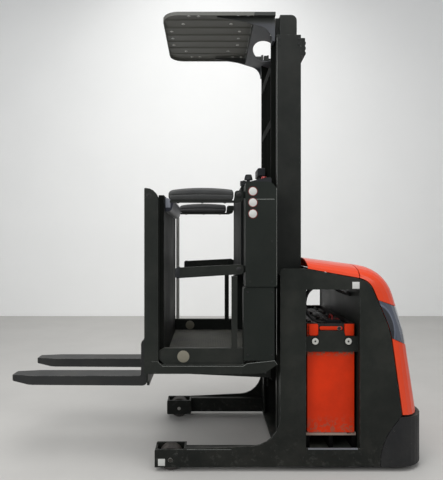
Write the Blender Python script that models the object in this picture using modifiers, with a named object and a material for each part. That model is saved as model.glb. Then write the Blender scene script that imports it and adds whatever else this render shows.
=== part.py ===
"""An order picker truck: chassis with battery and drive, two-stage mast, and a riding cab with forks.

Metres, +Z up. X runs along the truck, with the forks towards -X. Left is -Y, as seen facing the forks.
The origin is on the floor, under the middle of the truck's length.
"""

import math

import bmesh
import bpy
from mathutils import Matrix, Vector

# Overall, and the gaps between neighbours
LENGTH = 2.541
REAR = 1.2705
FORK_TIP = REAR - LENGTH
SEAT = 0.0003
CLEAR = 0.006
LAP = 0.0005
SIDES = (("left", -1), ("right", 1))

# Side frames: plates that run into the support arms
FRAME_HALF = 0.484
SIDE_PLATE = 0.012
FRAME_FRONT = 0.396
FRAME_TOP = 1.190
FRAME_BOTTOM = 0.033
ARM_TIP = -0.340
ARM_BOTTOM = 0.027
ARM_TOP = 0.131
ARM_ROOT_TOP = 0.158
ARM_WIDTH = 0.060
ARM_FILLET = 0.170
WINDOW_X = (0.5465, 0.8625)
WINDOW_Z = (0.135, 1.068)

# The rear edge of a side plate, from its top to the bumper: x, z, radius
PLATE_EDGE = (
    (0.528, FRAME_TOP, 0.50),
    (0.917, 1.120, 0.108),
    (1.040, 0.826, 0.50),
    (1.108, 0.333, 0.0),
)
BUMPER_CUT = (0.981, 0.169, 0.344)

# Buffers on the plates' edges that the closed hood and door rest on: low x, high x, sides
BUFFERS = (
    (0.700, 0.730, (-1, 1)),
    (1.087, 1.091, (-1,)),
)

# Load wheels
LOAD_WHEEL_R = 0.070
LOAD_WHEEL_WIDTH = 0.080
LOAD_AXLE_X = -0.248
LOAD_WHEEL_Y = 0.426
LOAD_AXLE_R = 0.0125
CHEEK = 0.012
WHEEL_ROOM = 0.010

# Chassis frame
MAST_FOOT_Z = (0.035, 0.055)
BATTERY_FLOOR_Z = (0.095, 0.115)
BULKHEAD_X = (0.868, 0.880)
BULKHEAD_TOP = 1.085
BRIDGE_Z = (0.420, 0.440)
RING_Z = (0.284, 0.298)

# Battery
BATTERY_X = (0.566, 0.851)
BATTERY_HALF = 0.420
BATTERY_Z = (0.204, 0.859)
LOCK_Z = (0.693, 0.784)
TRAY_WALL = 0.006

# Covers: hood and rear door, a loft from the plate's edge up to the crown
CROWN = (
    (0.546, 1.252, 0.0),
    (1.063, 1.184, 0.246),
    (1.174, 0.813, 0.80),
    (1.248, 0.327, 0.0),
)
COVER_FRONT = 0.558
SEAM_X = 0.862
SHOULDER = 0.200
HOOD_WALL = 0.008
DOOR_WALL = 0.014
INSERT_RECESS = 0.007
INSERT_EDGE_Z = (1.007, 0.779)
INSERT_CROWN_Z = (0.952, 0.719)
DOOR_HINGE = (1.111, FRAME_HALF + 0.0065)
KNUCKLE_R = 0.006
KNUCKLE_HEIGHTS = (0.385, 0.525)
KNUCKLE_LENGTH = 0.025

# Bumper
BUMPER_WALL = 0.020
BUMPER_BOTTOM = 0.030
BUMPER_TOP = 0.318
BUMPER_CORNER = 0.170

# Drive unit
DRIVE_X = 1.030
DRIVE_WHEEL_R = 0.125
DRIVE_WHEEL_WIDTH = 0.075
DRIVE_AXLE_R = 0.020
NECK_R = 0.090
MOTOR_R = 0.095
MOTOR_TOP = 0.700

# Fixed mast
CHANNEL_X = (0.395, 0.542)
CHANNEL_HALF = 0.360
CHANNEL_DEPTH = 0.050
CHANNEL_WALL = 0.012
MAST_TOP = 2.616
TIE_X = (0.5495, 0.5675)
BARREL_X = 0.494
BARREL_Y = 0.150
BARREL_R = 0.026
BARREL_BORE = 0.0184
BARREL_TOP = 1.860

# Inner mast
INNER_X = (0.417, 0.520)
INNER_HALF = 0.343
INNER_DEPTH = 0.073
INNER_BOTTOM = 0.270
INNER_TOP = 2.746
INNER_ROUND = 0.035
BRACKET_Y = (0.272, CHANNEL_HALF - CHANNEL_DEPTH - CLEAR)
ROD_R = 0.018
ROD_Z = (0.280, 2.600)
PULLEY = (0.510, 2.580)
PULLEY_R = 0.026
CHAIN_Y = 0.060
CHAIN_WIDTH = 0.012
CHAIN_THICK = 0.008
CHAIN_FRONT_END = 1.105
CHAIN_REAR_END = 1.1303

# Cab
CAB_HALF = 0.551
CAB_REAR = (0.372, 0.388)
UPRIGHT_Y = (0.245, 0.262)
UPRIGHT_BACK = 0.501
ROLLER_R = 0.039
GUARD_X = (-0.310, 0.257)
GUARD_HALF = 0.360
GUARD_TOP = 2.757
UPRIGHT_Z = (0.470, GUARD_TOP - 0.057)
GUARD_SHEET = 0.005
GUARD_LIP = 0.022
GUARD_CORNER = 0.100
RIB_DEPTH = 0.006
DECK_X = (-0.393, 0.262)
DECK_Z = (0.634, 0.646)
SKIRT = 0.012
SILL_Y = (CAB_HALF - 0.046, CAB_HALF - 0.016)
SILL_X = (-0.3105, 0.175)
SILL_TOP = 0.736
MAT = 0.006
POST_X = (-0.3915, -0.3116)
POST_Z = (0.6643, 1.655)
POST_WIDTH = 0.056
WALL_X = (-0.315, -0.284)
WALL_TOP = 1.620
CONSOLE_X = (0.187, 0.3655)
CONSOLE_FRONT = 0.173
CONSOLE_HALF = CAB_HALF - 0.161
CONSOLE_SEAM = 1.090
CONSOLE_TOP = 1.692
KNEE_X = 0.262

# Gates
GATE_PIVOT_X = 0.150
GATE_Y = CAB_HALF - 0.026
ARMREST_PIVOT_Z = CONSOLE_TOP - 0.072
MID_BAR_PIVOT_Z = CONSOLE_SEAM + 0.100
PIVOT_PIN_R = 0.008
PIVOT_BORE_R = 0.0085

# Forks
FORK_Y = (0.150, 0.286)
FORK_TIP_WIDTH = 0.080
BLADE_Z = (0.450, 0.507)
FORK_FACE = -0.4475
SHANK_TOP = 0.751
CARRIAGE_X = (-0.4085, -0.3935)

for old in list(bpy.data.objects):
    bpy.data.objects.remove(old, do_unlink=True)
PARTS = bpy.data.collections.new("order_picker_truck")
CUTTERS = bpy.data.collections.new("cutters")
for group in (PARTS, CUTTERS):
    bpy.context.scene.collection.children.link(group)


# Finishes: name, red, green, blue, roughness, metallic
FINISHES = (
    ("charcoal_paint", 0.027, 0.031, 0.027, 0.45, 0.1),
    ("guard_paint", 0.060, 0.060, 0.053, 0.50, 0.1),
    ("plate_paint", 0.072, 0.075, 0.080, 0.45, 0.2),
    ("cover_orange", 0.830, 0.070, 0.016, 0.30, 0.0),
    ("battery_orange", 0.580, 0.026, 0.004, 0.50, 0.0),
    ("black_plastic", 0.017, 0.019, 0.023, 0.50, 0.0),
    ("gloss_black", 0.010, 0.012, 0.018, 0.10, 0.0),
    ("bright_steel", 0.450, 0.450, 0.440, 0.35, 1.0),
    ("cast_iron", 0.060, 0.060, 0.062, 0.60, 0.6),
    ("wheel_tread", 0.050, 0.042, 0.035, 0.65, 0.0),
    ("arm_grey", 0.102, 0.102, 0.107, 0.60, 0.0),
    ("tray_grey", 0.300, 0.330, 0.370, 0.45, 0.0),
    ("mat_rubber", 0.070, 0.065, 0.058, 0.85, 0.0),
    ("stop_red", 0.500, 0.010, 0.008, 0.35, 0.0),
    ("cable_black", 0.012, 0.012, 0.012, 0.55, 0.0),
)


def make_finishes():
    """One Principled material for each row of the finish table."""
    made = {}
    for name, red, green, blue, roughness, metallic in FINISHES:
        material = bpy.data.materials.new(name)
        material.use_nodes = True
        shader = material.node_tree.nodes["Principled BSDF"]
        shader.inputs["Base Color"].default_value = (red, green, blue, 1.0)
        shader.inputs["Roughness"].default_value = roughness
        shader.inputs["Metallic"].default_value = metallic
        material.diffuse_color = (red, green, blue, 1.0)
        made[name] = material
    return made


MATERIALS = make_finishes()


def middle(pair):
    return (pair[0] + pair[1]) / 2


def across(side, inner, outer):
    """The low and high Y of what lies between two distances from the middle, on one side."""
    return tuple(sorted((side * inner, side * outer)))


def shape(mesh):
    """An object for a mesh, kept as a cutter until it becomes a node."""
    made = bpy.data.objects.new("shape", mesh)
    CUTTERS.objects.link(made)
    made.hide_render = True
    made.display_type = "WIRE"
    return made


def finished(form):
    """The object of a bmesh, its faces turned outwards."""
    bmesh.ops.recalc_face_normals(form, faces=form.faces)
    mesh = bpy.data.meshes.new("shape")
    form.to_mesh(mesh)
    form.free()
    return shape(mesh)


def block(x, y, z, bevel=0.0):
    """A box between the low and high values on each axis."""
    form = bmesh.new()
    bmesh.ops.create_cube(form, size=1.0)
    low, high = (Vector(corner) for corner in zip(x, y, z))
    bmesh.ops.scale(form, vec=high - low, verts=form.verts)
    bmesh.ops.translate(form, vec=(low + high) / 2, verts=form.verts)
    if bevel:
        bmesh.ops.bevel(form, geom=form.edges[:], offset=bevel, segments=2, affect="EDGES", profile=0.5)
    return finished(form)


# Where a flat outline's own axes go, by the axis that it is thick along
STANDING = {
    "X": Matrix(((0, 0, 1, 0), (1, 0, 0, 0), (0, 1, 0, 0), (0, 0, 0, 1))),
    "Y": Matrix(((1, 0, 0, 0), (0, 0, -1, 0), (0, 1, 0, 0), (0, 0, 0, 1))),
    "Z": Matrix.Identity(4),
}
ALONG = {"X": Vector((1, 0, 0)), "Y": Vector((0, 1, 0)), "Z": Vector((0, 0, 1))}


def meshed(curve):
    """The closed mesh of a curve, its caps welded to its sides."""
    guide = bpy.data.objects.new("guide", curve)
    CUTTERS.objects.link(guide)
    graph = bpy.context.evaluated_depsgraph_get()
    mesh = bpy.data.meshes.new_from_object(guide.evaluated_get(graph))
    bpy.data.objects.remove(guide, do_unlink=True)
    form = bmesh.new()
    form.from_mesh(mesh)
    bmesh.ops.remove_doubles(form, verts=form.verts, dist=0.00002)
    return form


def slab(outline, axis, span, holes=()):
    """A flat outline made thick along an axis: Y takes x and z pairs, Z takes x and y, X takes y and z."""
    curve = bpy.data.curves.new("outline", "CURVE")
    curve.dimensions = "2D"
    curve.fill_mode = "BOTH"
    curve.extrude = (span[1] - span[0]) / 2
    for loop in (outline, *holes):
        spline = curve.splines.new("POLY")
        spline.points.add(len(loop) - 1)
        for point, (a, b) in zip(spline.points, loop):
            point.co = (a, b, 0.0, 1.0)
        spline.use_cyclic_u = True
    form = meshed(curve)
    bmesh.ops.transform(form, matrix=STANDING[axis], verts=form.verts)
    bmesh.ops.translate(form, vec=ALONG[axis] * middle(span), verts=form.verts)
    return finished(form)


def rod(centre, axis, span, radius, sides=24, end_radius=None):
    """A cylinder or cone along an axis. The centre is a point on the other two axes, in X, Y, Z order."""
    form = bmesh.new()
    far_radius = radius if end_radius is None else end_radius
    length = span[1] - span[0]
    bmesh.ops.create_cone(
        form, cap_ends=True, segments=sides, radius1=radius, radius2=far_radius, depth=length
    )
    turn = ALONG["Z"].rotation_difference(ALONG[axis]).to_matrix()
    bmesh.ops.transform(form, matrix=turn.to_4x4(), verts=form.verts)
    place = list(centre)
    place.insert("XYZ".index(axis), middle(span))
    bmesh.ops.translate(form, vec=place, verts=form.verts)
    return finished(form)


def tube(points, radius, resolution=3):
    """A round tube along a list of points."""
    curve = bpy.data.curves.new("route", "CURVE")
    curve.dimensions = "3D"
    curve.bevel_depth = radius
    curve.bevel_resolution = resolution
    curve.use_fill_caps = True
    spline = curve.splines.new("POLY")
    spline.points.add(len(points) - 1)
    for point, place in zip(spline.points, points):
        point.co = (*place, 1.0)
    return finished(meshed(curve))


def wheel(profile, centre, axis_y, steps=32):
    """A body turned about a line along Y, from pairs of radius and distance along the line."""
    mesh = bpy.data.meshes.new("profile")
    corners = [(radius, 0.0, along) for radius, along in profile]
    count = len(corners)
    mesh.from_pydata(corners, [(i, (i + 1) % count) for i in range(count)], [])
    made = shape(mesh)
    screw = made.modifiers.new("turn", "SCREW")
    screw.steps = steps
    screw.render_steps = steps
    screw.use_merge_vertices = True
    screw.merge_threshold = 0.0001
    made.rotation_euler = (math.radians(-90), 0.0, 0.0)
    made.location = (centre[0], axis_y, centre[1])
    return made


def turned_arc(before, here, after, radius, steps):
    """The points of the arc that rounds one corner of an outline."""
    corner = Vector(here)
    back = (Vector(before) - corner).normalized()
    ahead = (Vector(after) - corner).normalized()
    half = back.angle(ahead) / 2
    centre = corner + (back + ahead).normalized() * radius / math.sin(half)
    first = corner + back * radius / math.tan(half) - centre
    last = corner + ahead * radius / math.tan(half) - centre
    start = math.atan2(first.y, first.x)
    sweep = (math.atan2(last.y, last.x) - start + math.pi) % (2 * math.pi) - math.pi
    angles = [start + sweep * k / steps for k in range(steps + 1)]
    return [(centre.x + radius * math.cos(a), centre.y + radius * math.sin(a)) for a in angles]


def rounded(corners, steps=4, closed=True):
    """An outline through corners given as a, b and radius, with an arc at each that has a radius."""
    count = len(corners)
    points = []
    for i, (a, b, radius) in enumerate(corners):
        inside = closed or 0 < i < count - 1
        if radius and inside:
            before = corners[i - 1][:2]
            after = corners[(i + 1) % count][:2]
            points += turned_arc(before, (a, b), after, radius, steps)
        else:
            points.append((a, b))
    return points


def circle(centre, radius, sides=16):
    turns = [2 * math.pi * k / sides for k in range(sides)]
    return [(centre[0] + radius * math.cos(a), centre[1] + radius * math.sin(a)) for a in turns]


def offset(points, distance):
    """An open line moved sideways, to the left of its direction for a positive distance."""
    moved = []
    for i, point in enumerate(points):
        before = Vector(points[max(i - 1, 0)])
        after = Vector(points[min(i + 1, len(points) - 1)])
        along = (after - before).normalized()
        moved.append((point[0] - along.y * distance, point[1] + along.x * distance))
    return moved


def node(name, finish, base, add=(), cut=(), keep=(), joint=None, smooth=True, solver="EXACT"):
    """Makes a shape a node: others are joined to it or cut from it, and it rides on a joint's empty."""
    for others, operation in ((keep, "INTERSECT"), (add, "UNION"), (cut, "DIFFERENCE")):
        for other in others:
            step = base.modifiers.new(operation.lower(), "BOOLEAN")
            step.operation = operation
            step.solver = solver
            step.object = other
    CUTTERS.objects.unlink(base)
    PARTS.objects.link(base)
    base.name = name
    base.data.name = name
    base.hide_render = False
    base.display_type = "TEXTURED"
    base.data.materials.clear()
    base.data.materials.append(MATERIALS[finish])
    if smooth:
        base.data.shade_smooth()
        base.data.set_sharp_from_angle(angle=math.radians(35))
    if joint:
        bpy.context.view_layer.update()
        place = base.matrix_world.copy()
        base.parent = joint
        base.matrix_world = place
    return base


def pivot(name, place, parent=None):
    """An empty on a joint's axis, which carries the pieces that move with it."""
    made = bpy.data.objects.new(name, None)
    PARTS.objects.link(made)
    made.empty_display_size = 0.05
    made.location = place
    bpy.context.view_layer.update()
    if parent:
        made.parent = parent
        made.matrix_parent_inverse = parent.matrix_world.inverted()
        bpy.context.view_layer.update()
    return made


def plate_edge():
    """The rear edge of a side plate from its top to the bumper, as a line of points."""
    return rounded(PLATE_EDGE, steps=6, closed=False)


def point_at(line, z):
    """Where a falling line crosses a height."""
    for (x0, z0), (x1, z1) in zip(line, line[1:]):
        if z1 <= z <= z0:
            return (x0 + (x1 - x0) * (z0 - z) / (z0 - z1), z)
    return line[-1]


def door_knuckles():
    """The fixed halves of the rear door's hinges, each on a leaf that reaches over the door's edge."""
    parts = []
    x, y = DOOR_HINGE
    for z in KNUCKLE_HEIGHTS:
        span = (z - KNUCKLE_LENGTH, z)
        edge = point_at(plate_edge(), z)[0]
        parts.append(block((edge - 0.022, edge - 0.001), (FRAME_HALF - LAP, y - 0.001), span))
        parts.append(block((edge - 0.002, x), (FRAME_HALF + 0.0008, y - 0.001), (span[0] + LAP, span[1] - LAP)))
        parts.append(rod(DOOR_HINGE, "Z", span, KNUCKLE_R, 16))
    return parts


def side_frame(name, side):
    """A side plate with its battery window, run into a support arm with a box for the load wheel."""
    bumper_cut = rounded((PLATE_EDGE[-1], BUMPER_CUT, (BUMPER_CUT[0], FRAME_BOTTOM, 0.0)), 6, closed=False)
    front = rounded(
        (
            (ARM_TIP, ARM_BOTTOM, 0.008),
            (ARM_TIP, ARM_TOP, 0.010),
            (LOAD_AXLE_X + LOAD_WHEEL_R + WHEEL_ROOM, ARM_TOP, 0.0),
            (FRAME_FRONT, ARM_ROOT_TOP, ARM_FILLET),
            (FRAME_FRONT, FRAME_TOP, 0.020),
            (PLATE_EDGE[0][0], FRAME_TOP, 0.0),
        ),
        steps=6,
        closed=False,
    )
    front[0] = (ARM_TIP, ARM_BOTTOM)
    outline = front[:-1] + plate_edge() + bumper_cut[1:]
    window = rounded(
        [(x, z, 0.010) for x, z in zip((*WINDOW_X, *WINDOW_X[::-1]), (*[WINDOW_Z[0]] * 2, *[WINDOW_Z[1]] * 2))],
        steps=2,
    )
    axle_hole = circle((LOAD_AXLE_X, LOAD_WHEEL_R), LOAD_AXLE_R + SEAT, 20)
    inner_face = FRAME_HALF - SIDE_PLATE
    plate = slab(outline, "Y", across(side, inner_face, FRAME_HALF), (window, axle_hole))
    pocket_back = LOAD_AXLE_X + LOAD_WHEEL_R + WHEEL_ROOM
    cheek_out = inner_face - 2 * CLEAR - LOAD_WHEEL_WIDTH
    cheek_in = cheek_out - CHEEK
    overlap = 0.002
    arm = block(
        (pocket_back, FRAME_FRONT + 0.14),
        across(side, FRAME_HALF - ARM_WIDTH, inner_face + overlap),
        (ARM_BOTTOM, ARM_TOP),
    )
    cheek_outline = rounded(
        (
            (ARM_TIP, ARM_BOTTOM, 0.008),
            (ARM_TIP, ARM_TOP, 0.010),
            (pocket_back + CHEEK, ARM_TOP, 0.0),
            (pocket_back + CHEEK, ARM_BOTTOM, 0.0),
        )
    )
    cheek = slab(cheek_outline, "Y", across(side, cheek_in, cheek_out), (axle_hole,))
    tip = block((ARM_TIP, ARM_TIP + CHEEK), across(side, cheek_in + overlap, inner_face + overlap),
                (ARM_BOTTOM + 0.008, ARM_TOP - 0.010))
    back = block((pocket_back, pocket_back + CHEEK), across(side, cheek_in + overlap, inner_face + overlap),
                 (ARM_BOTTOM, ARM_TOP))
    buffers = [
        slab(
            cover_line(PLATE_EDGE, start, end, CLEAR - 0.0006) + cover_line(PLATE_EDGE, start, end, -0.004)[::-1],
            "Y",
            across(side, inner_face + 0.002, FRAME_HALF - 0.003),
        )
        for start, end, sides in BUFFERS
        if side in sides
    ]
    hinges = door_knuckles() if side > 0 else []
    node(name, "charcoal_paint", plate, add=(arm, cheek, tip, back, *buffers, *hinges))
    axle = rod((LOAD_AXLE_X, LOAD_WHEEL_R), "Y", across(side, cheek_in - 0.0015, FRAME_HALF + 0.0015),
               LOAD_AXLE_R, 20)
    node("load_axle_" + name.rsplit("_", 1)[-1], "bright_steel", axle)


def chassis_frame():
    """The welded frame between the side frames: mast foot, battery floor, bulkhead, drive bridge, ring."""
    inner = FRAME_HALF - SIDE_PLATE - SEAT
    between_arms = FRAME_HALF - ARM_WIDTH - SEAT
    foot_back = CHANNEL_X[1] + 0.014
    floor_front = FRAME_FRONT + 0.149
    foot = block((CHANNEL_X[0], foot_back - LAP), (-between_arms, between_arms), MAST_FOOT_Z)
    step = block((floor_front, foot_back), (-inner, inner), (MAST_FOOT_Z[0] + LAP, BATTERY_FLOOR_Z[1]))
    floor = block((floor_front + LAP, BULKHEAD_X[1] - LAP), (LAP - inner, inner - LAP),
                  (BATTERY_FLOOR_Z[0] + LAP, BATTERY_FLOOR_Z[1] - LAP))
    bulkhead = block(BULKHEAD_X, (-inner, inner), (BATTERY_FLOOR_Z[0], BULKHEAD_TOP))
    neck_hole = circle((DRIVE_X, 0.0), NECK_R + CLEAR, 32)
    bridge_outline = rounded(
        (
            (BULKHEAD_X[0] + 0.006, LAP - inner, 0.0),
            (DRIVE_X + 0.055, LAP - inner, 0.04),
            (DRIVE_X + 0.130, -0.200, 0.08),
            (DRIVE_X + 0.130, 0.200, 0.08),
            (DRIVE_X + 0.055, inner - LAP, 0.04),
            (BULKHEAD_X[0] + 0.006, inner - LAP, 0.0),
        )
    )
    bridge = slab(bridge_outline, "Z", BRIDGE_Z, (neck_hole,))
    ring_half = FRAME_HALF - BUMPER_WALL - SEAT
    ring_back = REAR - BUMPER_WALL - SEAT
    ring_corner = BUMPER_CORNER - BUMPER_WALL
    ring_outline = rounded(
        (
            (BULKHEAD_X[0] + 0.006, -ring_half, 0.0),
            (ring_back, -ring_half, ring_corner),
            (ring_back, ring_half, ring_corner),
            (BULKHEAD_X[0] + 0.006, ring_half, 0.0),
        ),
        steps=8,
    )
    ring = slab(ring_outline, "Z", RING_Z, (circle((DRIVE_X, 0.0), NECK_R + 5 * CLEAR, 32),))
    panels = [
        block((CHANNEL_X[0] + 0.007, CHANNEL_X[0] + 0.017), across(side, CHANNEL_HALF + SEAT, inner),
              (ARM_TOP + 0.001, FRAME_TOP - 0.040))
        for _, side in SIDES
    ]
    feet = [
        block((CHANNEL_X[0] + 0.007 + LAP, CHANNEL_X[0] + 0.017 - LAP),
              across(side, CHANNEL_HALF + SEAT + LAP, between_arms - LAP), (MAST_FOOT_Z[0] + LAP, ARM_TOP + 0.020))
        for _, side in SIDES
    ]
    node("chassis_frame", "charcoal_paint", floor, add=(step, foot, bulkhead, bridge, ring, *panels, *feet),
         solver="MANIFOLD")


def battery_bay():
    """The battery tray on its bed, the lock plates at both windows, and the cables to the bulkhead."""
    x, z = BATTERY_X, BATTERY_Z
    tray = block(x, (-BATTERY_HALF, BATTERY_HALF), (z[0] + SEAT, z[1]), bevel=0.004)
    pocket = block(
        (x[0] + TRAY_WALL, x[1] - TRAY_WALL),
        (-BATTERY_HALF + TRAY_WALL, BATTERY_HALF - TRAY_WALL),
        (z[1] - 0.027, z[1] + 0.02),
    )
    slots = [
        block((middle(x) + at - 0.006, middle(x) + at + 0.006), across(side, BATTERY_HALF - 0.03, BATTERY_HALF + 0.01),
              (z[1] - 0.022, z[1] + 0.02))
        for _, side in SIDES for at in (-0.070, 0.070)
    ]
    node("battery", "battery_orange", tray, cut=(pocket, *slots))
    bed_x = (x[0] - 0.008, x[1] + 0.008)
    bed = block(bed_x, (-BATTERY_HALF, BATTERY_HALF), (z[0] - 0.016, z[0]))
    rails = [
        block((at - 0.012, at + 0.012), (-BATTERY_HALF, BATTERY_HALF), (BATTERY_FLOOR_Z[1] + SEAT, z[0] - 0.010))
        for at in (bed_x[0] + 0.012, middle(bed_x), bed_x[1] - 0.012)
    ]
    node("battery_bed", "bright_steel", bed, add=rails)
    inner = FRAME_HALF - SIDE_PLATE - SEAT
    lock_y = (BATTERY_HALF + 0.005, BATTERY_HALF + 0.017)
    lock_x = (WINDOW_X[0] - 0.0115, BULKHEAD_X[0] - SEAT)
    for label, side in SIDES:
        outline = rounded(
            (
                (lock_x[0], LOCK_Z[0], 0.0),
                (lock_x[0], LOCK_Z[1], 0.0),
                (middle(x) - 0.082, LOCK_Z[1], 0.0),
                (middle(x) - 0.074, LOCK_Z[1] + 0.033, 0.006),
                (middle(x) + 0.074, LOCK_Z[1] + 0.033, 0.006),
                (middle(x) + 0.082, LOCK_Z[1], 0.0),
                (lock_x[1], LOCK_Z[1], 0.0),
                (lock_x[1], LOCK_Z[0], 0.0),
            ),
            steps=2,
        )
        plate = slab(outline, "Y", across(side, *lock_y))
        pads = [
            block(span, across(side, lock_y[1] - 0.002, inner), LOCK_Z)
            for span in ((lock_x[0], WINDOW_X[0] - 0.001), (WINDOW_X[1] + 0.001, lock_x[1]))
        ]
        bolts = [
            rod((middle(x) + at, LOCK_Z[1] - 0.027), "Y", across(side, lock_y[1] - 0.002, lock_y[1] + 0.009), 0.020, 16)
            for at in (-0.0985, 0.0985)
        ]
        node("battery_lock_" + label, "charcoal_paint", plate, add=(*pads, *bolts))
    battery_cables()


# The two battery cables: how far each lies from the first, along Y
CABLE_R = 0.008
CABLE_ROUTE = (
    (0.700, -0.310, 0.8480),
    (0.688, -0.310, 0.8480),
    (0.676, -0.310, 0.8480),
    (0.632, -0.314, 0.8620),
    (0.592, -0.316, 0.9050),
    (0.578, -0.312, 0.9650),
    (0.600, -0.304, 1.0330),
    (0.660, -0.294, 1.0720),
    (0.740, -0.282, 1.0720),
    (0.800, -0.274, 1.0400),
    (0.8430, -0.272, 1.0200),
    (0.8550, -0.272, 1.0200),
    (0.8677, -0.272, 1.0200),
)
CABLE_SHIFTS = (0.0, 0.034)


def smooth_route(places, per_span=4):
    """Points on a smooth curve through the given places."""
    ends = [Vector(places[0]) * 2 - Vector(places[1])]
    ends += [Vector(place) for place in places]
    ends.append(Vector(places[-1]) * 2 - Vector(places[-2]))
    route = []
    for a, b, c, d in zip(ends, ends[1:], ends[2:], ends[3:]):
        for k in range(per_span):
            t = k / per_span
            route.append(
                (b * 2 + (c - a) * t + (a * 2 - b * 5 + c * 4 - d) * t**2 + (b * 3 - a - c * 3 + d) * t**3) / 2
            )
    route.append(ends[-2])
    return [tuple(point) for point in route]


def battery_cables():
    """Two cables from the battery connector over to the bulkhead, and the connector itself."""
    for i, shift in enumerate(CABLE_SHIFTS):
        places = [(x, y + shift, z) for x, y, z in CABLE_ROUTE]
        node(f"battery_cable_{i + 1}", "cable_black", tube(smooth_route(places), CABLE_R))
    start = CABLE_ROUTE[0]
    body_y = (start[1] - 0.022, start[1] + CABLE_SHIFTS[1] + 0.022)
    body = block((start[0] + SEAT, start[0] + 0.095), body_y, (BATTERY_Z[1] - 0.027 + SEAT, start[2] + 0.020), bevel=0.004)
    node("battery_connector", "black_plastic", body)


def bumper():
    """The dark skirt round the drive end, a U in plan that follows the side plates' cut."""
    def plan(inset):
        half = FRAME_HALF - inset
        corner = BUMPER_CORNER - inset
        back = REAR - inset
        front = BUMPER_CUT[0] - 0.05
        return rounded(((front, -half, 0.0), (back, -half, corner), (back, half, corner), (front, half, 0.0)), 8)

    outer = plan(0.0)
    inner = plan(BUMPER_WALL)
    span = (BUMPER_BOTTOM, BUMPER_TOP)
    skirt = slab(outer, "Z", span)
    hollow = slab(inner, "Z", (span[0] - 0.01, span[1] + 0.01))
    edge = offset(
        rounded((PLATE_EDGE[-1], BUMPER_CUT, (BUMPER_CUT[0], FRAME_BOTTOM - 0.02, 0.0)), 6, closed=False), 0.004
    )
    cutter = slab([*edge, (0.80, edge[-1][1]), (0.80, edge[0][1])], "Y", (-FRAME_HALF - 0.05, FRAME_HALF + 0.05))
    node("bumper_skirt", "black_plastic", skirt, cut=(hollow, cutter))


def resampled(points, count):
    """Evenly spaced points along an open line."""
    steps = [math.dist(a, b) for a, b in zip(points, points[1:])]
    total = sum(steps)
    spaced = []
    for k in range(count):
        left = total * k / (count - 1)
        i = 0
        while i < len(steps) - 1 and left > steps[i]:
            left -= steps[i]
            i += 1
        share = min(left / steps[i], 1.0)
        a, b = points[i], points[i + 1]
        spaced.append((a[0] + (b[0] - a[0]) * share, a[1] + (b[1] - a[1]) * share))
    return spaced


def between(points, start, end):
    """The stretch of a line between two values of X, its ends put in."""
    kept = []
    for a, b in zip(points, points[1:]):
        for limit in (start, end):
            if a[0] < limit < b[0]:
                share = (limit - a[0]) / (b[0] - a[0])
                kept.append((limit, a[1] + (b[1] - a[1]) * share))
        if start <= b[0] <= end:
            kept.append(b)
    return sorted(set(kept))


def stretches(line, heights, counts):
    """Points along a falling line, spaced evenly within each stretch that the heights part off."""
    limits = [line[0][1], *heights, line[-1][1]]
    spaced = []
    for high, low, count in zip(limits, limits[1:], counts):
        inside = [place for place in line if low < place[1] < high]
        spaced += resampled([point_at(line, high), *inside, point_at(line, low)], count)[:-1]
    return [*spaced, line[-1]]


def cover_line(corners, start, end, distance=0.0):
    return between(offset(rounded(corners, 16, closed=False), distance), start, end)


def section(edge, crown, inward, depth, turns=6):
    """One section of a cover, from the left plate's edge over the crown to the right one."""
    half = FRAME_HALF - depth
    shoulder = SHOULDER - depth
    low = Vector(edge)
    high = Vector(crown) + inward * depth
    quarter = []
    for k in range(turns + 1):
        angle = math.pi / 2 * k / turns
        y = half - shoulder + shoulder * math.cos(angle)
        place = low + (high - low) * math.sin(angle)
        quarter.append((place.x, y, place.y))
    mirrored = [(x, -y, z) for x, y, z in quarter]
    return mirrored + quarter[::-1]


def loft(outer, inner):
    """A closed shell between an outer and an inner grid of sections."""
    form = bmesh.new()
    grids = [[[form.verts.new(p) for p in row] for row in grid] for grid in (outer, inner)]
    rows, columns = len(outer), len(outer[0])
    for grid in grids:
        for i in range(rows - 1):
            for j in range(columns - 1):
                form.faces.new((grid[i][j], grid[i][j + 1], grid[i + 1][j + 1], grid[i + 1][j]))
    top, under = grids
    for i in range(rows - 1):
        for j in (0, columns - 1):
            form.faces.new((top[i][j], top[i + 1][j], under[i + 1][j], under[i][j]))
    for j in range(columns - 1):
        for i in (0, rows - 1):
            form.faces.new((top[i][j], top[i][j + 1], under[i][j + 1], under[i][j]))
    return finished(form)


def cover_sections(edge, crown, depths):
    """The sections of a cover at a depth under its outer face for each row."""
    made = []
    for i, (low, high) in enumerate(zip(edge, crown)):
        after = Vector(crown[min(i + 1, len(crown) - 1)])
        before = Vector(crown[max(i - 1, 0)])
        along = (after - before).normalized()
        inward = Vector((-along.y, along.x)) * -1
        made.append(section(low, high, inward, depths[i]))
    return made


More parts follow.
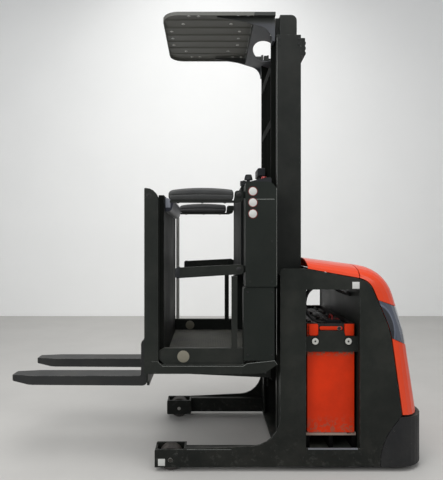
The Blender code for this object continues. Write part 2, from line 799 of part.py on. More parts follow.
def covers(hood_joint, door_joint):
    """The battery hood and the rear door, which share one crown and one lower edge."""
    half_seam = CLEAR / 2
    hood_edge = resampled(cover_line(PLATE_EDGE, COVER_FRONT, SEAM_X - half_seam, CLEAR), 4)
    hood_crown = resampled(cover_line(CROWN, COVER_FRONT, SEAM_X - half_seam), 4)
    outer = cover_sections(hood_edge, hood_crown, [0.0] * 4)
    inner = cover_sections(hood_edge, hood_crown, [HOOD_WALL] * 4)
    node("battery_hood", "cover_orange", loft(outer, inner), joint=hood_joint)

    # Rows above, along and below the insert
    rows = (11, 9, 7)
    edge = stretches(cover_line(PLATE_EDGE, SEAM_X + half_seam, REAR, CLEAR), INSERT_EDGE_Z, rows)
    crown = stretches(cover_line(CROWN, SEAM_X + half_seam, REAR), INSERT_CROWN_Z, rows)
    first = rows[0] - 1
    last = first + rows[1] - 1
    step = 0.08

    def stepped(line):
        """The line with an extra point close to each end of the insert, for the steps of its recess."""
        def near(i, j):
            a, b = line[i], line[j]
            return (a[0] + (b[0] - a[0]) * step, a[1] + (b[1] - a[1]) * step)

        return [*line[: first + 1], near(first, first + 1), *line[first + 1: last],
                near(last, last - 1), *line[last:]]

    edge, crown = stepped(edge), stepped(crown)
    recess = range(first + 1, last + 2)
    depths = [INSERT_RECESS if i in recess else 0.0 for i in range(len(edge))]
    outer = cover_sections(edge, crown, depths)
    inner = cover_sections(edge, crown, [DOOR_WALL] * len(edge))
    x, y = DOOR_HINGE
    hinges = []
    for z in KNUCKLE_HEIGHTS:
        span = (z + LAP, z + KNUCKLE_LENGTH)
        hinges.append(block((x, x + 0.024), (FRAME_HALF - DOOR_WALL - 0.004, y - 0.001), (span[0] + LAP, span[1] - LAP)))
        hinges.append(rod(DOOR_HINGE, "Z", span, KNUCKLE_R, 16))
    node("rear_door", "cover_orange", loft(outer, inner), add=hinges, joint=door_joint)

    def inset(line):
        """The insert's own stretch of a line, its ends clear of the recess."""
        part = line[first + 1: last + 2]
        trim = 0.0015 / math.dist(part[0], part[1])
        start = (part[0][0] + (part[1][0] - part[0][0]) * trim, part[0][1] + (part[1][1] - part[0][1]) * trim)
        end = (part[-1][0] + (part[-2][0] - part[-1][0]) * trim, part[-1][1] + (part[-2][1] - part[-1][1]) * trim)
        return [start, *part[1:-1], end]

    edge, crown = inset(edge), inset(crown)
    outer = cover_sections(edge, crown, [0.001] * len(edge))
    inner = cover_sections(edge, crown, [INSERT_RECESS - SEAT * 2] * len(edge))
    node("rear_door_insert", "gloss_black", loft(outer, inner), joint=door_joint)


def drive(steer_joint, wheel_joint):
    """The drive wheel beside its gearbox, whose neck turns in the bridge, and the motor on top."""
    inner_y = DRIVE_WHEEL_WIDTH / 2 + 0.0105
    outline = rounded(
        (
            (DRIVE_X - 0.075, DRIVE_WHEEL_R - 0.075, 0.050),
            (DRIVE_X - 0.085, RING_Z[0] - CLEAR, 0.020),
            (DRIVE_X + 0.085, RING_Z[0] - CLEAR, 0.020),
            (DRIVE_X + 0.075, DRIVE_WHEEL_R - 0.075, 0.050),
        ),
        steps=5,
    )
    case = slab(outline, "Y", (inner_y, inner_y + 0.075))
    neck = rod((DRIVE_X, 0.0), "Z", (2 * DRIVE_WHEEL_R + CLEAR, BRIDGE_Z[1] + 0.010), NECK_R, 32)
    collar = rod((DRIVE_X, 0.0), "Z", (BRIDGE_Z[1] + SEAT, BRIDGE_Z[1] + 0.020), NECK_R + 0.035, 32)
    axle = rod((DRIVE_X, DRIVE_WHEEL_R), "Y", (-0.030, inner_y + 0.010), DRIVE_AXLE_R, 24)
    node("drive_gearbox", "cast_iron", case, add=(neck, collar, axle), joint=steer_joint)
    motor = rod((DRIVE_X, 0.0), "Z", (BRIDGE_Z[1] + 0.020 + SEAT, MOTOR_TOP), MOTOR_R, 24)
    node("traction_motor", "charcoal_paint", motor, joint=steer_joint)
    bore = DRIVE_AXLE_R + 2 * SEAT
    half = DRIVE_WHEEL_WIDTH / 2
    rim = DRIVE_WHEEL_R - 0.022
    profile = (
        (bore, half), (0.042, half), (0.050, half - 0.022), (rim - 0.016, half - 0.022), (rim - 0.008, half - 0.004),
        (DRIVE_WHEEL_R - 0.006, half - 0.002), (DRIVE_WHEEL_R, half - 0.009),
        (DRIVE_WHEEL_R, 0.009 - half), (DRIVE_WHEEL_R - 0.006, 0.002 - half),
        (rim - 0.008, 0.004 - half), (rim - 0.016, 0.022 - half), (0.050, 0.022 - half), (0.042, -half), (bore, -half),
    )
    node("drive_wheel", "wheel_tread", wheel(profile, (DRIVE_X, DRIVE_WHEEL_R), 0.0, 40), joint=wheel_joint)


def load_wheel(name, side, joint):
    """A load wheel on its axle: tread on a dished hub."""
    half = LOAD_WHEEL_WIDTH / 2
    bore = LOAD_AXLE_R + 2 * SEAT
    profile = (
        (bore, half), (0.024, half), (0.030, half - 0.008), (0.046, half - 0.008), (0.050, half),
        (LOAD_WHEEL_R - 0.004, half), (LOAD_WHEEL_R, half - 0.006),
        (LOAD_WHEEL_R, 0.006 - half), (LOAD_WHEEL_R - 0.004, -half),
        (0.050, -half), (0.046, 0.008 - half), (0.030, 0.008 - half), (0.024, -half), (bore, -half),
    )
    y = side * (FRAME_HALF - SIDE_PLATE - CLEAR - half)
    node(name, "wheel_tread", wheel(profile, (LOAD_AXLE_X, LOAD_WHEEL_R), y, 32), joint=joint)


def channel(name, side, x, outer, depth, wall, z, finish, joint=None, add=(), cut=()):
    """An upright channel, open towards the middle of the truck."""
    tip = outer - depth
    web = outer - wall
    outline = [
        (x[0], outer), (x[1], outer), (x[1], tip), (x[1] - wall, tip),
        (x[1] - wall, web), (x[0] + wall, web), (x[0] + wall, tip), (x[0], tip),
    ]
    profile = slab([(a, side * b) for a, b in outline], "Z", z)
    node(name, finish, profile, add=add, cut=cut, joint=joint, smooth=False)


# The ties behind the fixed mast: name, low z, high z
MAST_TIES = (
    ("mast_tie_top", 2.490, 2.596),
    ("mast_tie_middle", 1.092, 1.130),
)


def fixed_mast():
    """The outer channels, their ties and the two lift cylinder barrels."""
    for label, side in SIDES:
        channel("mast_channel_" + label, side, CHANNEL_X, CHANNEL_HALF, CHANNEL_DEPTH, CHANNEL_WALL,
                (MAST_FOOT_Z[1] + SEAT, MAST_TOP), "charcoal_paint")
        bore = rod((BARREL_X, side * BARREL_Y), "Z", (MAST_FOOT_Z[1] + 0.012, BARREL_TOP + 0.01), BARREL_BORE)
        barrel = rod((BARREL_X, side * BARREL_Y), "Z", (MAST_FOOT_Z[1] + SEAT, BARREL_TOP), BARREL_R)
        node("lift_barrel_" + label, "charcoal_paint", barrel, cut=(bore,))
    for name, low, high in MAST_TIES:
        bar = block(TIE_X, (-CHANNEL_HALF, CHANNEL_HALF), (low, high))
        pads = [
            block((CHANNEL_X[1] + SEAT, TIE_X[0] + 0.002), across(side, CHANNEL_HALF - CHANNEL_DEPTH + 0.004, CHANNEL_HALF),
                  (low, high))
            for _, side in SIDES
        ]
        node(name, "charcoal_paint", bar, add=pads)


def inner_mast(joint):
    """The moving channels, their head with pulleys and rod sockets, the lower tie, the rods and the chains."""
    round_x = INNER_X[1] - INNER_ROUND
    round_z = INNER_TOP - INNER_ROUND
    corner = [(round_x, INNER_TOP + 0.01)]
    for k in range(7):
        angle = math.pi / 2 * (1 - k / 6)
        corner.append((round_x + INNER_ROUND * math.cos(angle), round_z + INNER_ROUND * math.sin(angle)))
    corner += [(INNER_X[1] + 0.01, round_z), (INNER_X[1] + 0.01, INNER_TOP + 0.01)]
    for label, side in SIDES:
        bracket = block((CAB_REAR[1] + CLEAR, INNER_X[0] + 0.002), across(side, *BRACKET_Y), (MAST_TOP + 0.009, INNER_TOP - 0.002))
        rounding = slab(corner, "Y", across(side, INNER_HALF - INNER_DEPTH - 0.01, INNER_HALF + 0.01))
        channel("inner_channel_" + label, side, INNER_X, INNER_HALF, INNER_DEPTH, CHANNEL_WALL,
                (INNER_BOTTOM, INNER_TOP), "charcoal_paint", joint, add=(bracket,), cut=(rounding,))
        node("lift_rod_" + label, "bright_steel",
             rod((BARREL_X, side * BARREL_Y), "Z", ROD_Z, ROD_R), joint=joint)
    tips = INNER_HALF - INNER_DEPTH - SEAT
    head_x = (INNER_X[1] - CHANNEL_WALL, INNER_X[1] + 0.004)
    head = block(head_x, (-tips, tips), (INNER_TOP - 0.106, INNER_TOP - INNER_ROUND - 0.001))
    parts = []
    for _, side in SIDES:
        parts.append(block((BARREL_X - 0.024, head_x[1] - LAP), across(side, BARREL_Y - 0.030, BARREL_Y + 0.030),
                           (ROD_Z[1] + SEAT, INNER_TOP - 0.080)))
        for low, high in ((CHAIN_Y - 0.020, CHAIN_Y - 0.014), (CHAIN_Y + 0.014, CHAIN_Y + 0.020)):
            parts.append(block((PULLEY[0] - 0.012, head_x[1] - LAP), across(side, low, high),
                               (PULLEY[1] - 0.016, INNER_TOP - 0.090)))
        parts.append(rod(PULLEY, "Y", across(side, CHAIN_Y - 0.022, CHAIN_Y + 0.022), 0.009, 12))
        parts.append(rod(PULLEY, "Y", across(side, CHAIN_Y - CHAIN_WIDTH / 2 - 0.004, CHAIN_Y + CHAIN_WIDTH / 2 + 0.004),
                         PULLEY_R, 24))
    node("inner_mast_head", "charcoal_paint", head, add=parts, joint=joint, solver="MANIFOLD")
    bar = block((INNER_X[1] + 0.0065, INNER_X[1] + 0.0185), (-INNER_HALF + 0.043, INNER_HALF - 0.043),
                (INNER_BOTTOM + 0.030, INNER_BOTTOM + 0.110))
    ends = [
        block((INNER_X[1] + SEAT, INNER_X[1] + 0.008), across(side, INNER_HALF - 0.071, INNER_HALF - 0.043 - LAP),
              (INNER_BOTTOM + 0.030 + LAP, INNER_BOTTOM + 0.110 - LAP))
        for _, side in SIDES
    ]
    node("inner_mast_tie", "charcoal_paint", bar, add=ends, joint=joint)
    middle_r = PULLEY_R + SEAT + CHAIN_THICK / 2
    low_r, high_r = middle_r - CHAIN_THICK / 2, middle_r + CHAIN_THICK / 2
    turns = [math.pi * k / 12 for k in range(13)]
    x, z = PULLEY
    outline = [(x + high_r * math.cos(a), z + high_r * math.sin(a)) for a in turns]
    outline += [(x - high_r, CHAIN_FRONT_END), (x - low_r, CHAIN_FRONT_END)]
    outline += [(x + low_r * math.cos(a), z + low_r * math.sin(a)) for a in reversed(turns)]
    outline += [(x + low_r, CHAIN_REAR_END), (x + high_r, CHAIN_REAR_END)]
    for label, side in SIDES:
        chain = slab(outline, "Y", across(side, CHAIN_Y - CHAIN_WIDTH / 2, CHAIN_Y + CHAIN_WIDTH / 2))
        node("lift_chain_" + label, "cast_iron", chain, joint=joint)


# The bars across the cab's rear frame: low z, high z
CROSSBARS = (
    (0.470, 0.660),
    (0.835, 0.885),
    (1.010, 1.100),
    (1.295, 1.345),
    (1.590, 1.650),
    (2.080, 2.130),
    (GUARD_TOP - 0.327, GUARD_TOP - 0.267),
)
ROLLER_HEIGHTS = (0.560, 1.200)
GUARD_BAR_PITCH = 0.070
GUARD_BAR_R = 0.007


def cab_rear_frame(joint):
    """The cab's uprights with rollers that run in the inner mast, their crossbars and the guard bars."""
    low, high = CAB_REAR
    inner_side = UPRIGHT_Y[0]
    bar_x = (low + LAP, high)
    bar_half = inner_side + 0.004
    base = block(bar_x, (-bar_half, bar_half), (CROSSBARS[0][0] + LAP, CROSSBARS[0][1]))
    parts = [block(bar_x, (-bar_half, bar_half), span) for span in CROSSBARS[1:]]
    for _, side in SIDES:
        parts.append(block((low, UPRIGHT_BACK), across(side, *UPRIGHT_Y), UPRIGHT_Z))
        for z in ROLLER_HEIGHTS:
            parts.append(rod((middle(INNER_X), z), "Y",
                             across(side, UPRIGHT_Y[1] - 0.004, INNER_HALF - CHANNEL_WALL - CLEAR), ROLLER_R, 20))
        for start in (CHAIN_Y - 0.018, CHAIN_Y + 0.012):
            parts.append(block((high - 0.002, PULLEY[0] - 0.018), across(side, start, start + 0.006), (1.040, 1.098)))
    count = 2 * int((inner_side - 0.02) / GUARD_BAR_PITCH) + 1
    for k in range(count):
        y = GUARD_BAR_PITCH * (k - count // 2)
        parts.append(rod((middle(CAB_REAR), y), "Z", (CROSSBARS[4][1] - 0.01, CROSSBARS[6][0] + 0.01), GUARD_BAR_R, 8))
    node("cab_rear_frame", "charcoal_paint", base, add=parts, joint=joint, solver="MANIFOLD")


# See-through holes in the roof: x, distance of each from the middle
GUARD_HOLES = (
    (-0.269, (0.0, 0.105)),
    (-0.187, (0.210,)),
    (-0.147, (0.315,)),
    (-0.086, (0.315,)),
    (0.121, (0.210,)),
    (0.161, (0.315,)),
    (0.1835, (0.0, 0.105)),
    (0.224, (0.315,)),
)
GUARD_HOLE_R = 0.0075
RIB_CREASES = (0.050, 0.155, 0.260)
RIB_WIDTH = 0.034


def overhead_guard(joint):
    """The ribbed roof sheet with a turned-down rim and its drilled holes."""
    creases = sorted([side * y for y in RIB_CREASES for _, side in SIDES])
    under = [(-GUARD_HALF, GUARD_TOP - GUARD_SHEET)]
    for y in creases:
        for across_rib, drop in ((-0.5, 0.0), (-0.2, RIB_DEPTH), (0.2, RIB_DEPTH), (0.5, 0.0)):
            under.append((y + across_rib * RIB_WIDTH, GUARD_TOP - GUARD_SHEET - drop))
    under.append((GUARD_HALF, GUARD_TOP - GUARD_SHEET))
    top = [(y, z + GUARD_SHEET) for y, z in reversed(under)]
    sheet = slab(under + top, "X", (GUARD_X[0], GUARD_X[1]))

    def plan(inset, back):
        half = GUARD_HALF - inset
        corner = GUARD_CORNER - inset
        return rounded(((GUARD_X[0] + inset, -half, corner), (back, -half, 0.0), (back, half, 0.0),
                        (GUARD_X[0] + inset, half, corner)), 6)

    trim = slab(plan(0.0, GUARD_X[1]), "Z", (GUARD_TOP - 0.1, GUARD_TOP + 0.1))
    rim_cut = slab(plan(GUARD_SHEET, GUARD_X[1] + 0.02), "Z", (GUARD_TOP - GUARD_LIP - 0.01, GUARD_TOP + 0.01))
    rim = slab(plan(0.0, GUARD_X[1]), "Z", (GUARD_TOP - GUARD_LIP, GUARD_TOP - 0.001))
    cut = rim.modifiers.new("hollow", "BOOLEAN")
    cut.operation = "DIFFERENCE"
    cut.object = rim_cut
    holes = []
    for x, places in GUARD_HOLES:
        for y in sorted({side * place for place in places for _, side in SIDES}):
            holes.append(rod((x, y), "Z", (GUARD_TOP - 0.03, GUARD_TOP + 0.02), GUARD_HOLE_R, 12))
    node("overhead_guard", "guard_paint", sheet, keep=(trim,), add=(rim,), cut=holes, joint=joint, smooth=False)


CROSS_PLATE_TILT = math.radians(18)
CROSS_PLATE_Z = GUARD_TOP - 0.057
CROSS_PLATE_BACK = 0.460
CROSS_PLATE_HOLE = (0.364, 0.165, 0.320)
GUSSET_Y = (0.318, 0.330)


def guard_support(joint):
    """The roof's two gussets, with the sloping cross plate and its oval hole between them."""
    under = GUARD_TOP - GUARD_SHEET - RIB_DEPTH - SEAT
    foot = GUARD_TOP - 0.167
    behind = GUARD_X[1] + 2 * SEAT
    outline = rounded(
        (
            (0.030, under, 0.0),
            (behind, under, 0.0),
            (behind, GUARD_TOP, 0.0),
            (CAB_REAR[1], GUARD_TOP, 0.0),
            (CAB_REAR[1], foot, 0.0),
            (CAB_REAR[0], foot, 0.0),
            (CAB_REAR[0], GUARD_TOP - 0.097, 0.090),
            (0.200, GUARD_TOP - 0.045, 0.300),
            (0.030, under - 0.008, 0.0),
        ),
        steps=5,
    )
    base = slab(outline, "Y", across(-1, *GUSSET_Y))
    parts = [slab(outline, "Y", across(1, *GUSSET_Y))]
    parts += [
        block((CAB_REAR[0] + LAP, CAB_REAR[1] - LAP), across(side, UPRIGHT_Y[1] + SEAT, GUSSET_Y[1] - LAP),
              (foot + LAP, under - LAP))
        for _, side in SIDES
    ]
    parts += [
        block((behind + LAP, CAB_REAR[1] - LAP), across(side, GUSSET_Y[0] + LAP, GUARD_HALF),
              (GUARD_TOP - GUARD_LIP, GUARD_TOP - LAP))
        for _, side in SIDES
    ]
    parts.append(block((GUARD_X[1] - 0.001, GUARD_X[1] + 0.004), (-GUSSET_Y[1] + LAP, GUSSET_Y[1] - LAP),
                       (CROSS_PLATE_Z - 0.004, under - LAP)))
    front, back = GUARD_X[1], CROSS_PLATE_BACK
    slope = 1 / math.cos(CROSS_PLATE_TILT)
    length = (back - front) * slope
    wide = (CAB_REAR[0] - 0.002 - front) * slope
    narrow = UPRIGHT_Y[0] - SEAT
    plan = rounded(
        (
            (0.0, -GUSSET_Y[0] - 0.002, 0.0), (wide, -GUSSET_Y[0] - 0.002, 0.0), (wide, -narrow, 0.0), (length, -narrow, 0.03),
            (length, narrow, 0.03), (wide, narrow, 0.0), (wide, GUSSET_Y[0] + 0.002, 0.0), (0.0, GUSSET_Y[0] + 0.002, 0.0),
        ),
        steps=3,
    )
    centre_x, hole_length, hole_width = CROSS_PLATE_HOLE
    at = (centre_x - front) * slope
    hole = [
        (at + hole_length / 2 * math.cos(a), hole_width / 2 * math.sin(a))
        for a in (2 * math.pi * k / 28 for k in range(28))
    ]
    plate = slab(plan, "Z", (-GUARD_SHEET, 0.0), (hole,))
    plate.rotation_euler = (0.0, CROSS_PLATE_TILT, 0.0)
    plate.location = (front, 0.0, CROSS_PLATE_Z)
    parts.append(plate)
    node("guard_support", "plate_paint", base, add=parts, joint=joint)


BEAM_Y = (0.185, 0.250)
BEAM_BOTTOM = (0.520, 0.485)
GATE_REST_X = 0.125
GATE_REST_WIDTH = 0.033


def platform(joint):
    """The platform: deck, skirts, sills, tapered beams below and the gate rests, with a mat on the deck."""
    deck_half = CAB_HALF - 0.004
    deck = block(DECK_X, (-deck_half, deck_half), DECK_Z)
    skirt_outline = rounded(
        (
            (DECK_X[0], POST_Z[0] - SEAT, 0.0), (-0.315, POST_Z[0] - SEAT, 0.0), (-0.287, 0.636, 0.0), (SILL_X[1], 0.636, 0.0),
            (0.1965, 0.6505, 0.0), (0.3535, 0.667, 0.0), (0.367, 0.645, 0.006), (0.300, 0.600, 0.060),
            (0.240, 0.593, 0.200), (DECK_X[0], 0.593, 0.014),
        ),
        steps=4,
    )
    beam_outline = [
        (DECK_X[0], DECK_Z[0] + 0.004), (CAB_REAR[0] - SEAT, DECK_Z[0] + 0.004), (CAB_REAR[0] - SEAT, BEAM_BOTTOM[1]),
        (DECK_X[0], BEAM_BOTTOM[0]),
    ]
    low = DECK_Z[0] + 0.006
    sill_outline = [
        (SILL_X[0], low + 0.035), (SILL_X[0], SILL_TOP - 0.018), (SILL_X[0] + 0.030, SILL_TOP), (SILL_X[1], SILL_TOP),
        (SILL_X[1], low), (SILL_X[0] + 0.035, low),
    ]
    parts = []
    for _, side in SIDES:
        parts.append(slab(skirt_outline, "Y", across(side, CAB_HALF - SKIRT, CAB_HALF)))
        parts.append(slab(sill_outline, "Y", across(side, *SILL_Y)))
        parts.append(slab(beam_outline, "Y", across(side, *BEAM_Y)))
        parts.append(block((GATE_REST_X - GATE_REST_WIDTH / 2, GATE_REST_X + GATE_REST_WIDTH / 2),
                           across(side, *SILL_Y), (SILL_TOP - 0.01, MID_BAR_PIVOT_Z - 0.040)))
    parts.append(block((DECK_X[0], DECK_X[0] + 0.012), (0.087 - CAB_HALF, CAB_HALF - 0.087),
                       (BEAM_BOTTOM[0], DECK_Z[0] + 0.004)))
    parts.append(block((0.250, 0.262), (-deck_half, deck_half), (0.600, DECK_Z[0] + 0.004)))
    node("platform_frame", "charcoal_paint", deck, add=parts, joint=joint)
    mat = block((WALL_X[1] + 0.001, KNEE_X - 0.001), (-SILL_Y[0] + 0.0005, SILL_Y[0] - 0.0005),
                (DECK_Z[1] + SEAT, DECK_Z[1] + MAT))
    node("platform_mat", "mat_rubber", mat, joint=joint, smooth=False)


def front_end(joint):
    """The posts and the wall at the fork end, with the document tray and the grab bar."""
    x, z = POST_X, POST_Z
    for label, side in SIDES:
        outline = rounded(
            ((x[0], z[0], 0.0), (x[0], z[1], 0.006), (x[1], z[1], 0.070), (x[1], z[0], 0.0)), steps=5
        )
        node("front_post_" + label, "charcoal_paint",
             slab(outline, "Y", across(side, CAB_HALF - POST_WIDTH, CAB_HALF)), joint=joint)
    wall_half = CAB_HALF - POST_WIDTH - SEAT
    wall = block(WALL_X, (-wall_half, wall_half), (DECK_Z[1] + SEAT, WALL_TOP))
    node("front_wall", "charcoal_paint", wall, joint=joint, smooth=False)
    low = WALL_X[1] + SEAT
    top = WALL_TOP - 0.005
    profile = rounded(
        (
            (low, top, 0.0), (low, top - 0.085, 0.0), (low + 0.036, top - 0.080, 0.022), (low + 0.052, top - 0.015, 0.0),
            (low + 0.047, top - 0.013, 0.0), (low + 0.032, top - 0.075, 0.018), (low + 0.005, top - 0.080, 0.0),
            (low + 0.005, top, 0.0),
        ),
        steps=4,
    )
    half = CAB_HALF - 0.151
    tray = slab(profile, "Y", (-half, half))
    ends = [slab(profile[:len(profile) // 2 + 1], "Y", across(side, half - 0.006, half)) for _, side in SIDES]
    node("document_tray", "tray_grey", tray, add=ends, joint=joint)
    bar = tube([(-0.267, SILL_Y[0] + 0.015, SILL_TOP + SEAT), (-0.267, SILL_Y[0] + 0.015, 1.540)], 0.013, 3)
    node("grab_bar", "tray_grey", bar, joint=joint)


def console(joint):
    """The console at the mast side: cabinet, recessed lower part, side covers, control panel, stop button."""
    x = CONSOLE_X
    cabinet = rounded(
        (
            (CONSOLE_FRONT, CONSOLE_SEAM + 0.060, 0.020), (CONSOLE_FRONT, CONSOLE_TOP, 0.015), (x[1], CONSOLE_TOP, 0.010),
            (x[1], CONSOLE_SEAM + SEAT, 0.0), (KNEE_X, CONSOLE_SEAM + SEAT, 0.0),
        ),
        steps=3,
    )
    node("console_cabinet", "black_plastic", slab(cabinet, "Y", (-CONSOLE_HALF + SEAT, CONSOLE_HALF - SEAT)), joint=joint)
    lower = block((KNEE_X, x[1]), (-CAB_HALF + 0.1013, CAB_HALF - 0.1013), (DECK_Z[1] + MAT + 0.020, CONSOLE_SEAM))
    foot = block((KNEE_X + 0.002, x[1] - 0.002), (-0.17, 0.17), (DECK_Z[1] - 0.02, DECK_Z[1] + MAT + 0.030))
    wings = []
    wing_outline = rounded(
        (
            (SILL_X[1] + 0.0013, 0.6673, 0.0), (SILL_X[1] + 0.0013, CONSOLE_SEAM - CLEAR / 2, 0.012),
            (x[1] - 0.012, CONSOLE_SEAM - CLEAR / 2, 0.0), (x[1] - 0.012, 0.6673, 0.0),
        ),
        steps=3,
    )
    for _, side in SIDES:
        wings.append(slab(wing_outline, "Y", across(side, CAB_HALF - 0.103, CAB_HALF - 0.006)))
    node("console_lower", "charcoal_paint", lower, add=(foot, *wings), joint=joint)
    for label, side in SIDES:
        outline = rounded(
            (
                (x[0], CONSOLE_SEAM + SEAT, 0.0), (x[0], CONSOLE_TOP, 0.020),
                (x[1], CONSOLE_TOP, 0.055), (x[1], CONSOLE_SEAM + SEAT, 0.0),
            ),
            steps=4,
        )
        cover = slab(outline, "Y", across(side, CONSOLE_HALF, CAB_HALF))
        parts = []
        ears = ((ARMREST_PIVOT_Z, CAB_HALF - 0.054, CAB_HALF - 0.039), (MID_BAR_PIVOT_Z, CAB_HALF - 0.059, CAB_HALF - 0.045))
        for pivot_z, inner, outer in ears:
            ear = rounded(
                (
                    (GATE_PIVOT_X - 0.020, pivot_z - 0.020, 0.019), (GATE_PIVOT_X - 0.020, pivot_z + 0.020, 0.019),
                    (x[0] + 0.004, pivot_z + 0.020, 0.0), (x[0] + 0.004, pivot_z - 0.020, 0.0),
                ),
                steps=4,
            )
            parts.append(slab(ear, "Y", across(side, inner, outer)))
            parts.append(rod((GATE_PIVOT_X, pivot_z), "Y", across(side, outer - 0.002, outer + 0.032), PIVOT_PIN_R, 16))
        node("console_side_" + label, "charcoal_paint", cover, add=parts, joint=joint)
    controls(joint)


def controls(joint):
    """The control panel with its levers and display, and the stop button."""
    base_z = CONSOLE_TOP + SEAT
    outline = rounded(
        ((0.200, base_z, 0.0), (0.205, base_z + 0.020, 0.008), (0.330, base_z + 0.050, 0.010), (0.362, base_z + 0.050, 0.010),
         (0.362, base_z, 0.0)),
        steps=3,
    )
    half = CONSOLE_HALF - 0.030
    panel = slab(outline, "Y", (-half, half))
    near, far = 0.060 - half, half - 0.110
    parts = [
        rod((0.226, near), "Z", (base_z + 0.010, base_z + 0.045), 0.010, 12),
        rod((0.226, near), "Z", (base_z + 0.042, base_z + 0.075), 0.026, 20, 0.018),
        rod((0.240, far), "Z", (base_z + 0.010, base_z + 0.080), 0.012, 12),
        block((0.215, 0.265), (far - 0.025, far + 0.025), (base_z + 0.070, base_z + 0.110), bevel=0.010),
        block((0.327, 0.345), (-0.020, 0.020), (base_z + 0.040, base_z + 0.105)),
        block((0.312, 0.357), (-0.090, 0.090), (base_z + 0.098, base_z + 0.153), bevel=0.006),
    ]
    node("control_panel", "black_plastic", panel, add=parts, joint=joint)
    at = (0.335, 0.160 - half)
    stem = rod(at, "Z", (base_z + 0.050 + SEAT, base_z + 0.065), 0.012, 16)
    head = rod(at, "Z", (base_z + 0.063, base_z + 0.078), 0.020, 20, 0.015)
    node("stop_button", "stop_red", stem, add=(head,), joint=joint)


# Gates: how far from the middle each layer starts and ends
ARMREST_Y = (CAB_HALF - 0.050, CAB_HALF - 0.002)
ARM_BAR_Y = (CAB_HALF - 0.0325, CAB_HALF - 0.0205)
MID_BAR_Y = (CAB_HALF - 0.0385, CAB_HALF - 0.0145)


def gate(label, side, arm_joint, bar_joint):
    """One gate: a padded armrest and the bar below it, each on its own pivot at the console."""
    x, z = GATE_PIVOT_X, ARMREST_PIVOT_Z
    tip = ARM_TIP + 0.084
    lug = slab(
        rounded(((0.085, z - 0.048, 0.0), (0.085, z - 0.036, 0.0), (0.122, z - 0.036, 0.010), (0.128, z + 0.022, 0.015),
                 (x + 0.026, z + 0.022, 0.020), (x + 0.026, z - 0.036, 0.020), (0.140, z - 0.048, 0.008)), 4),
        "Y", across(side, *ARM_BAR_Y), (circle((x, z), PIVOT_BORE_R, 16),),
    )
    rail = block((tip + 0.010, 0.115), across(side, ARMREST_Y[0] + 0.008, ARMREST_Y[1] - 0.008), (z - 0.047, z - 0.0343))
    node("gate_arm_" + label, "charcoal_paint", lug, add=(rail,), joint=arm_joint)
    pad_outline = rounded(
        (
            (tip, z - 0.034, 0.012), (tip, z + 0.022, 0.022), (-0.070, z + 0.042, 0.700), (0.110, z + 0.030, 0.018),
            (0.110, z - 0.034, 0.006),
        ),
        steps=4,
    )
    pad = slab(pad_outline, "Y", across(side, *ARMREST_Y))
    soften = pad.modifiers.new("soften", "BEVEL")
    soften.width = 0.008
    soften.segments = 2
    soften.limit_method = "ANGLE"
    soften.angle_limit = math.radians(60)
    node("armrest_pad_" + label, "arm_grey", pad, joint=arm_joint)
    z = MID_BAR_PIVOT_Z
    bar_outline = rounded(
        (
            (-0.213, z - 0.0525, 0.020), (-0.213, z + 0.0085, 0.020), (x + 0.028, z + 0.028, 0.022), (x + 0.028, z - 0.028, 0.022),
        ),
        steps=4,
    )
    bar = slab(bar_outline, "Y", across(side, *MID_BAR_Y), (circle((x, z), PIVOT_BORE_R, 16),))
    node("gate_bar_" + label, "charcoal_paint", bar, joint=bar_joint)


def forks(joint):
    """The fork carriage and the two forks with tapered tips."""
    carriage = block(CARRIAGE_X, (-0.330, 0.330), (0.490, 0.690))
    hook = block((CARRIAGE_X[0], CARRIAGE_X[1]), (-0.300, 0.300), (0.452, 0.500))
    node("fork_carriage", "charcoal_paint", carriage, add=(hook,), joint=joint)
    low, high = BLADE_Z
    back = CARRIAGE_X[0] - SEAT
    outline = rounded(
        (
            (FORK_TIP, low + 0.019, 0.008), (FORK_TIP, high, 0.008), (FORK_FACE, high, 0.012),
            (FORK_FACE, SHANK_TOP, 0.030), (back, SHANK_TOP - 0.016, 0.008), (back, low - 0.005, 0.030),
            (FORK_TIP + 0.110, low, 0.0),
        ),
        steps=4,
    )
    for label, side in SIDES:
        fork = slab(outline, "Y", across(side, *FORK_Y))
        centre = side * middle(FORK_Y)
        half = (FORK_Y[1] - FORK_Y[0]) / 2
        tip_half = FORK_TIP_WIDTH / 2
        plan = rounded(
            (
                (FORK_TIP - 0.001, centre - tip_half, 0.020), (FORK_TIP - 0.001, centre + tip_half, 0.020),
                (FORK_TIP + 0.150, centre + half + 0.001, 0.0), (back + 0.05, centre + half + 0.001, 0.0),
                (back + 0.05, centre - half - 0.001, 0.0), (FORK_TIP + 0.150, centre - half - 0.001, 0.0),
            ),
            steps=3,
        )
        taper = slab(plan, "Z", (low - 0.1, SHANK_TOP + 0.1))
        node("fork_" + label, "charcoal_paint", fork, keep=(taper,), joint=joint)


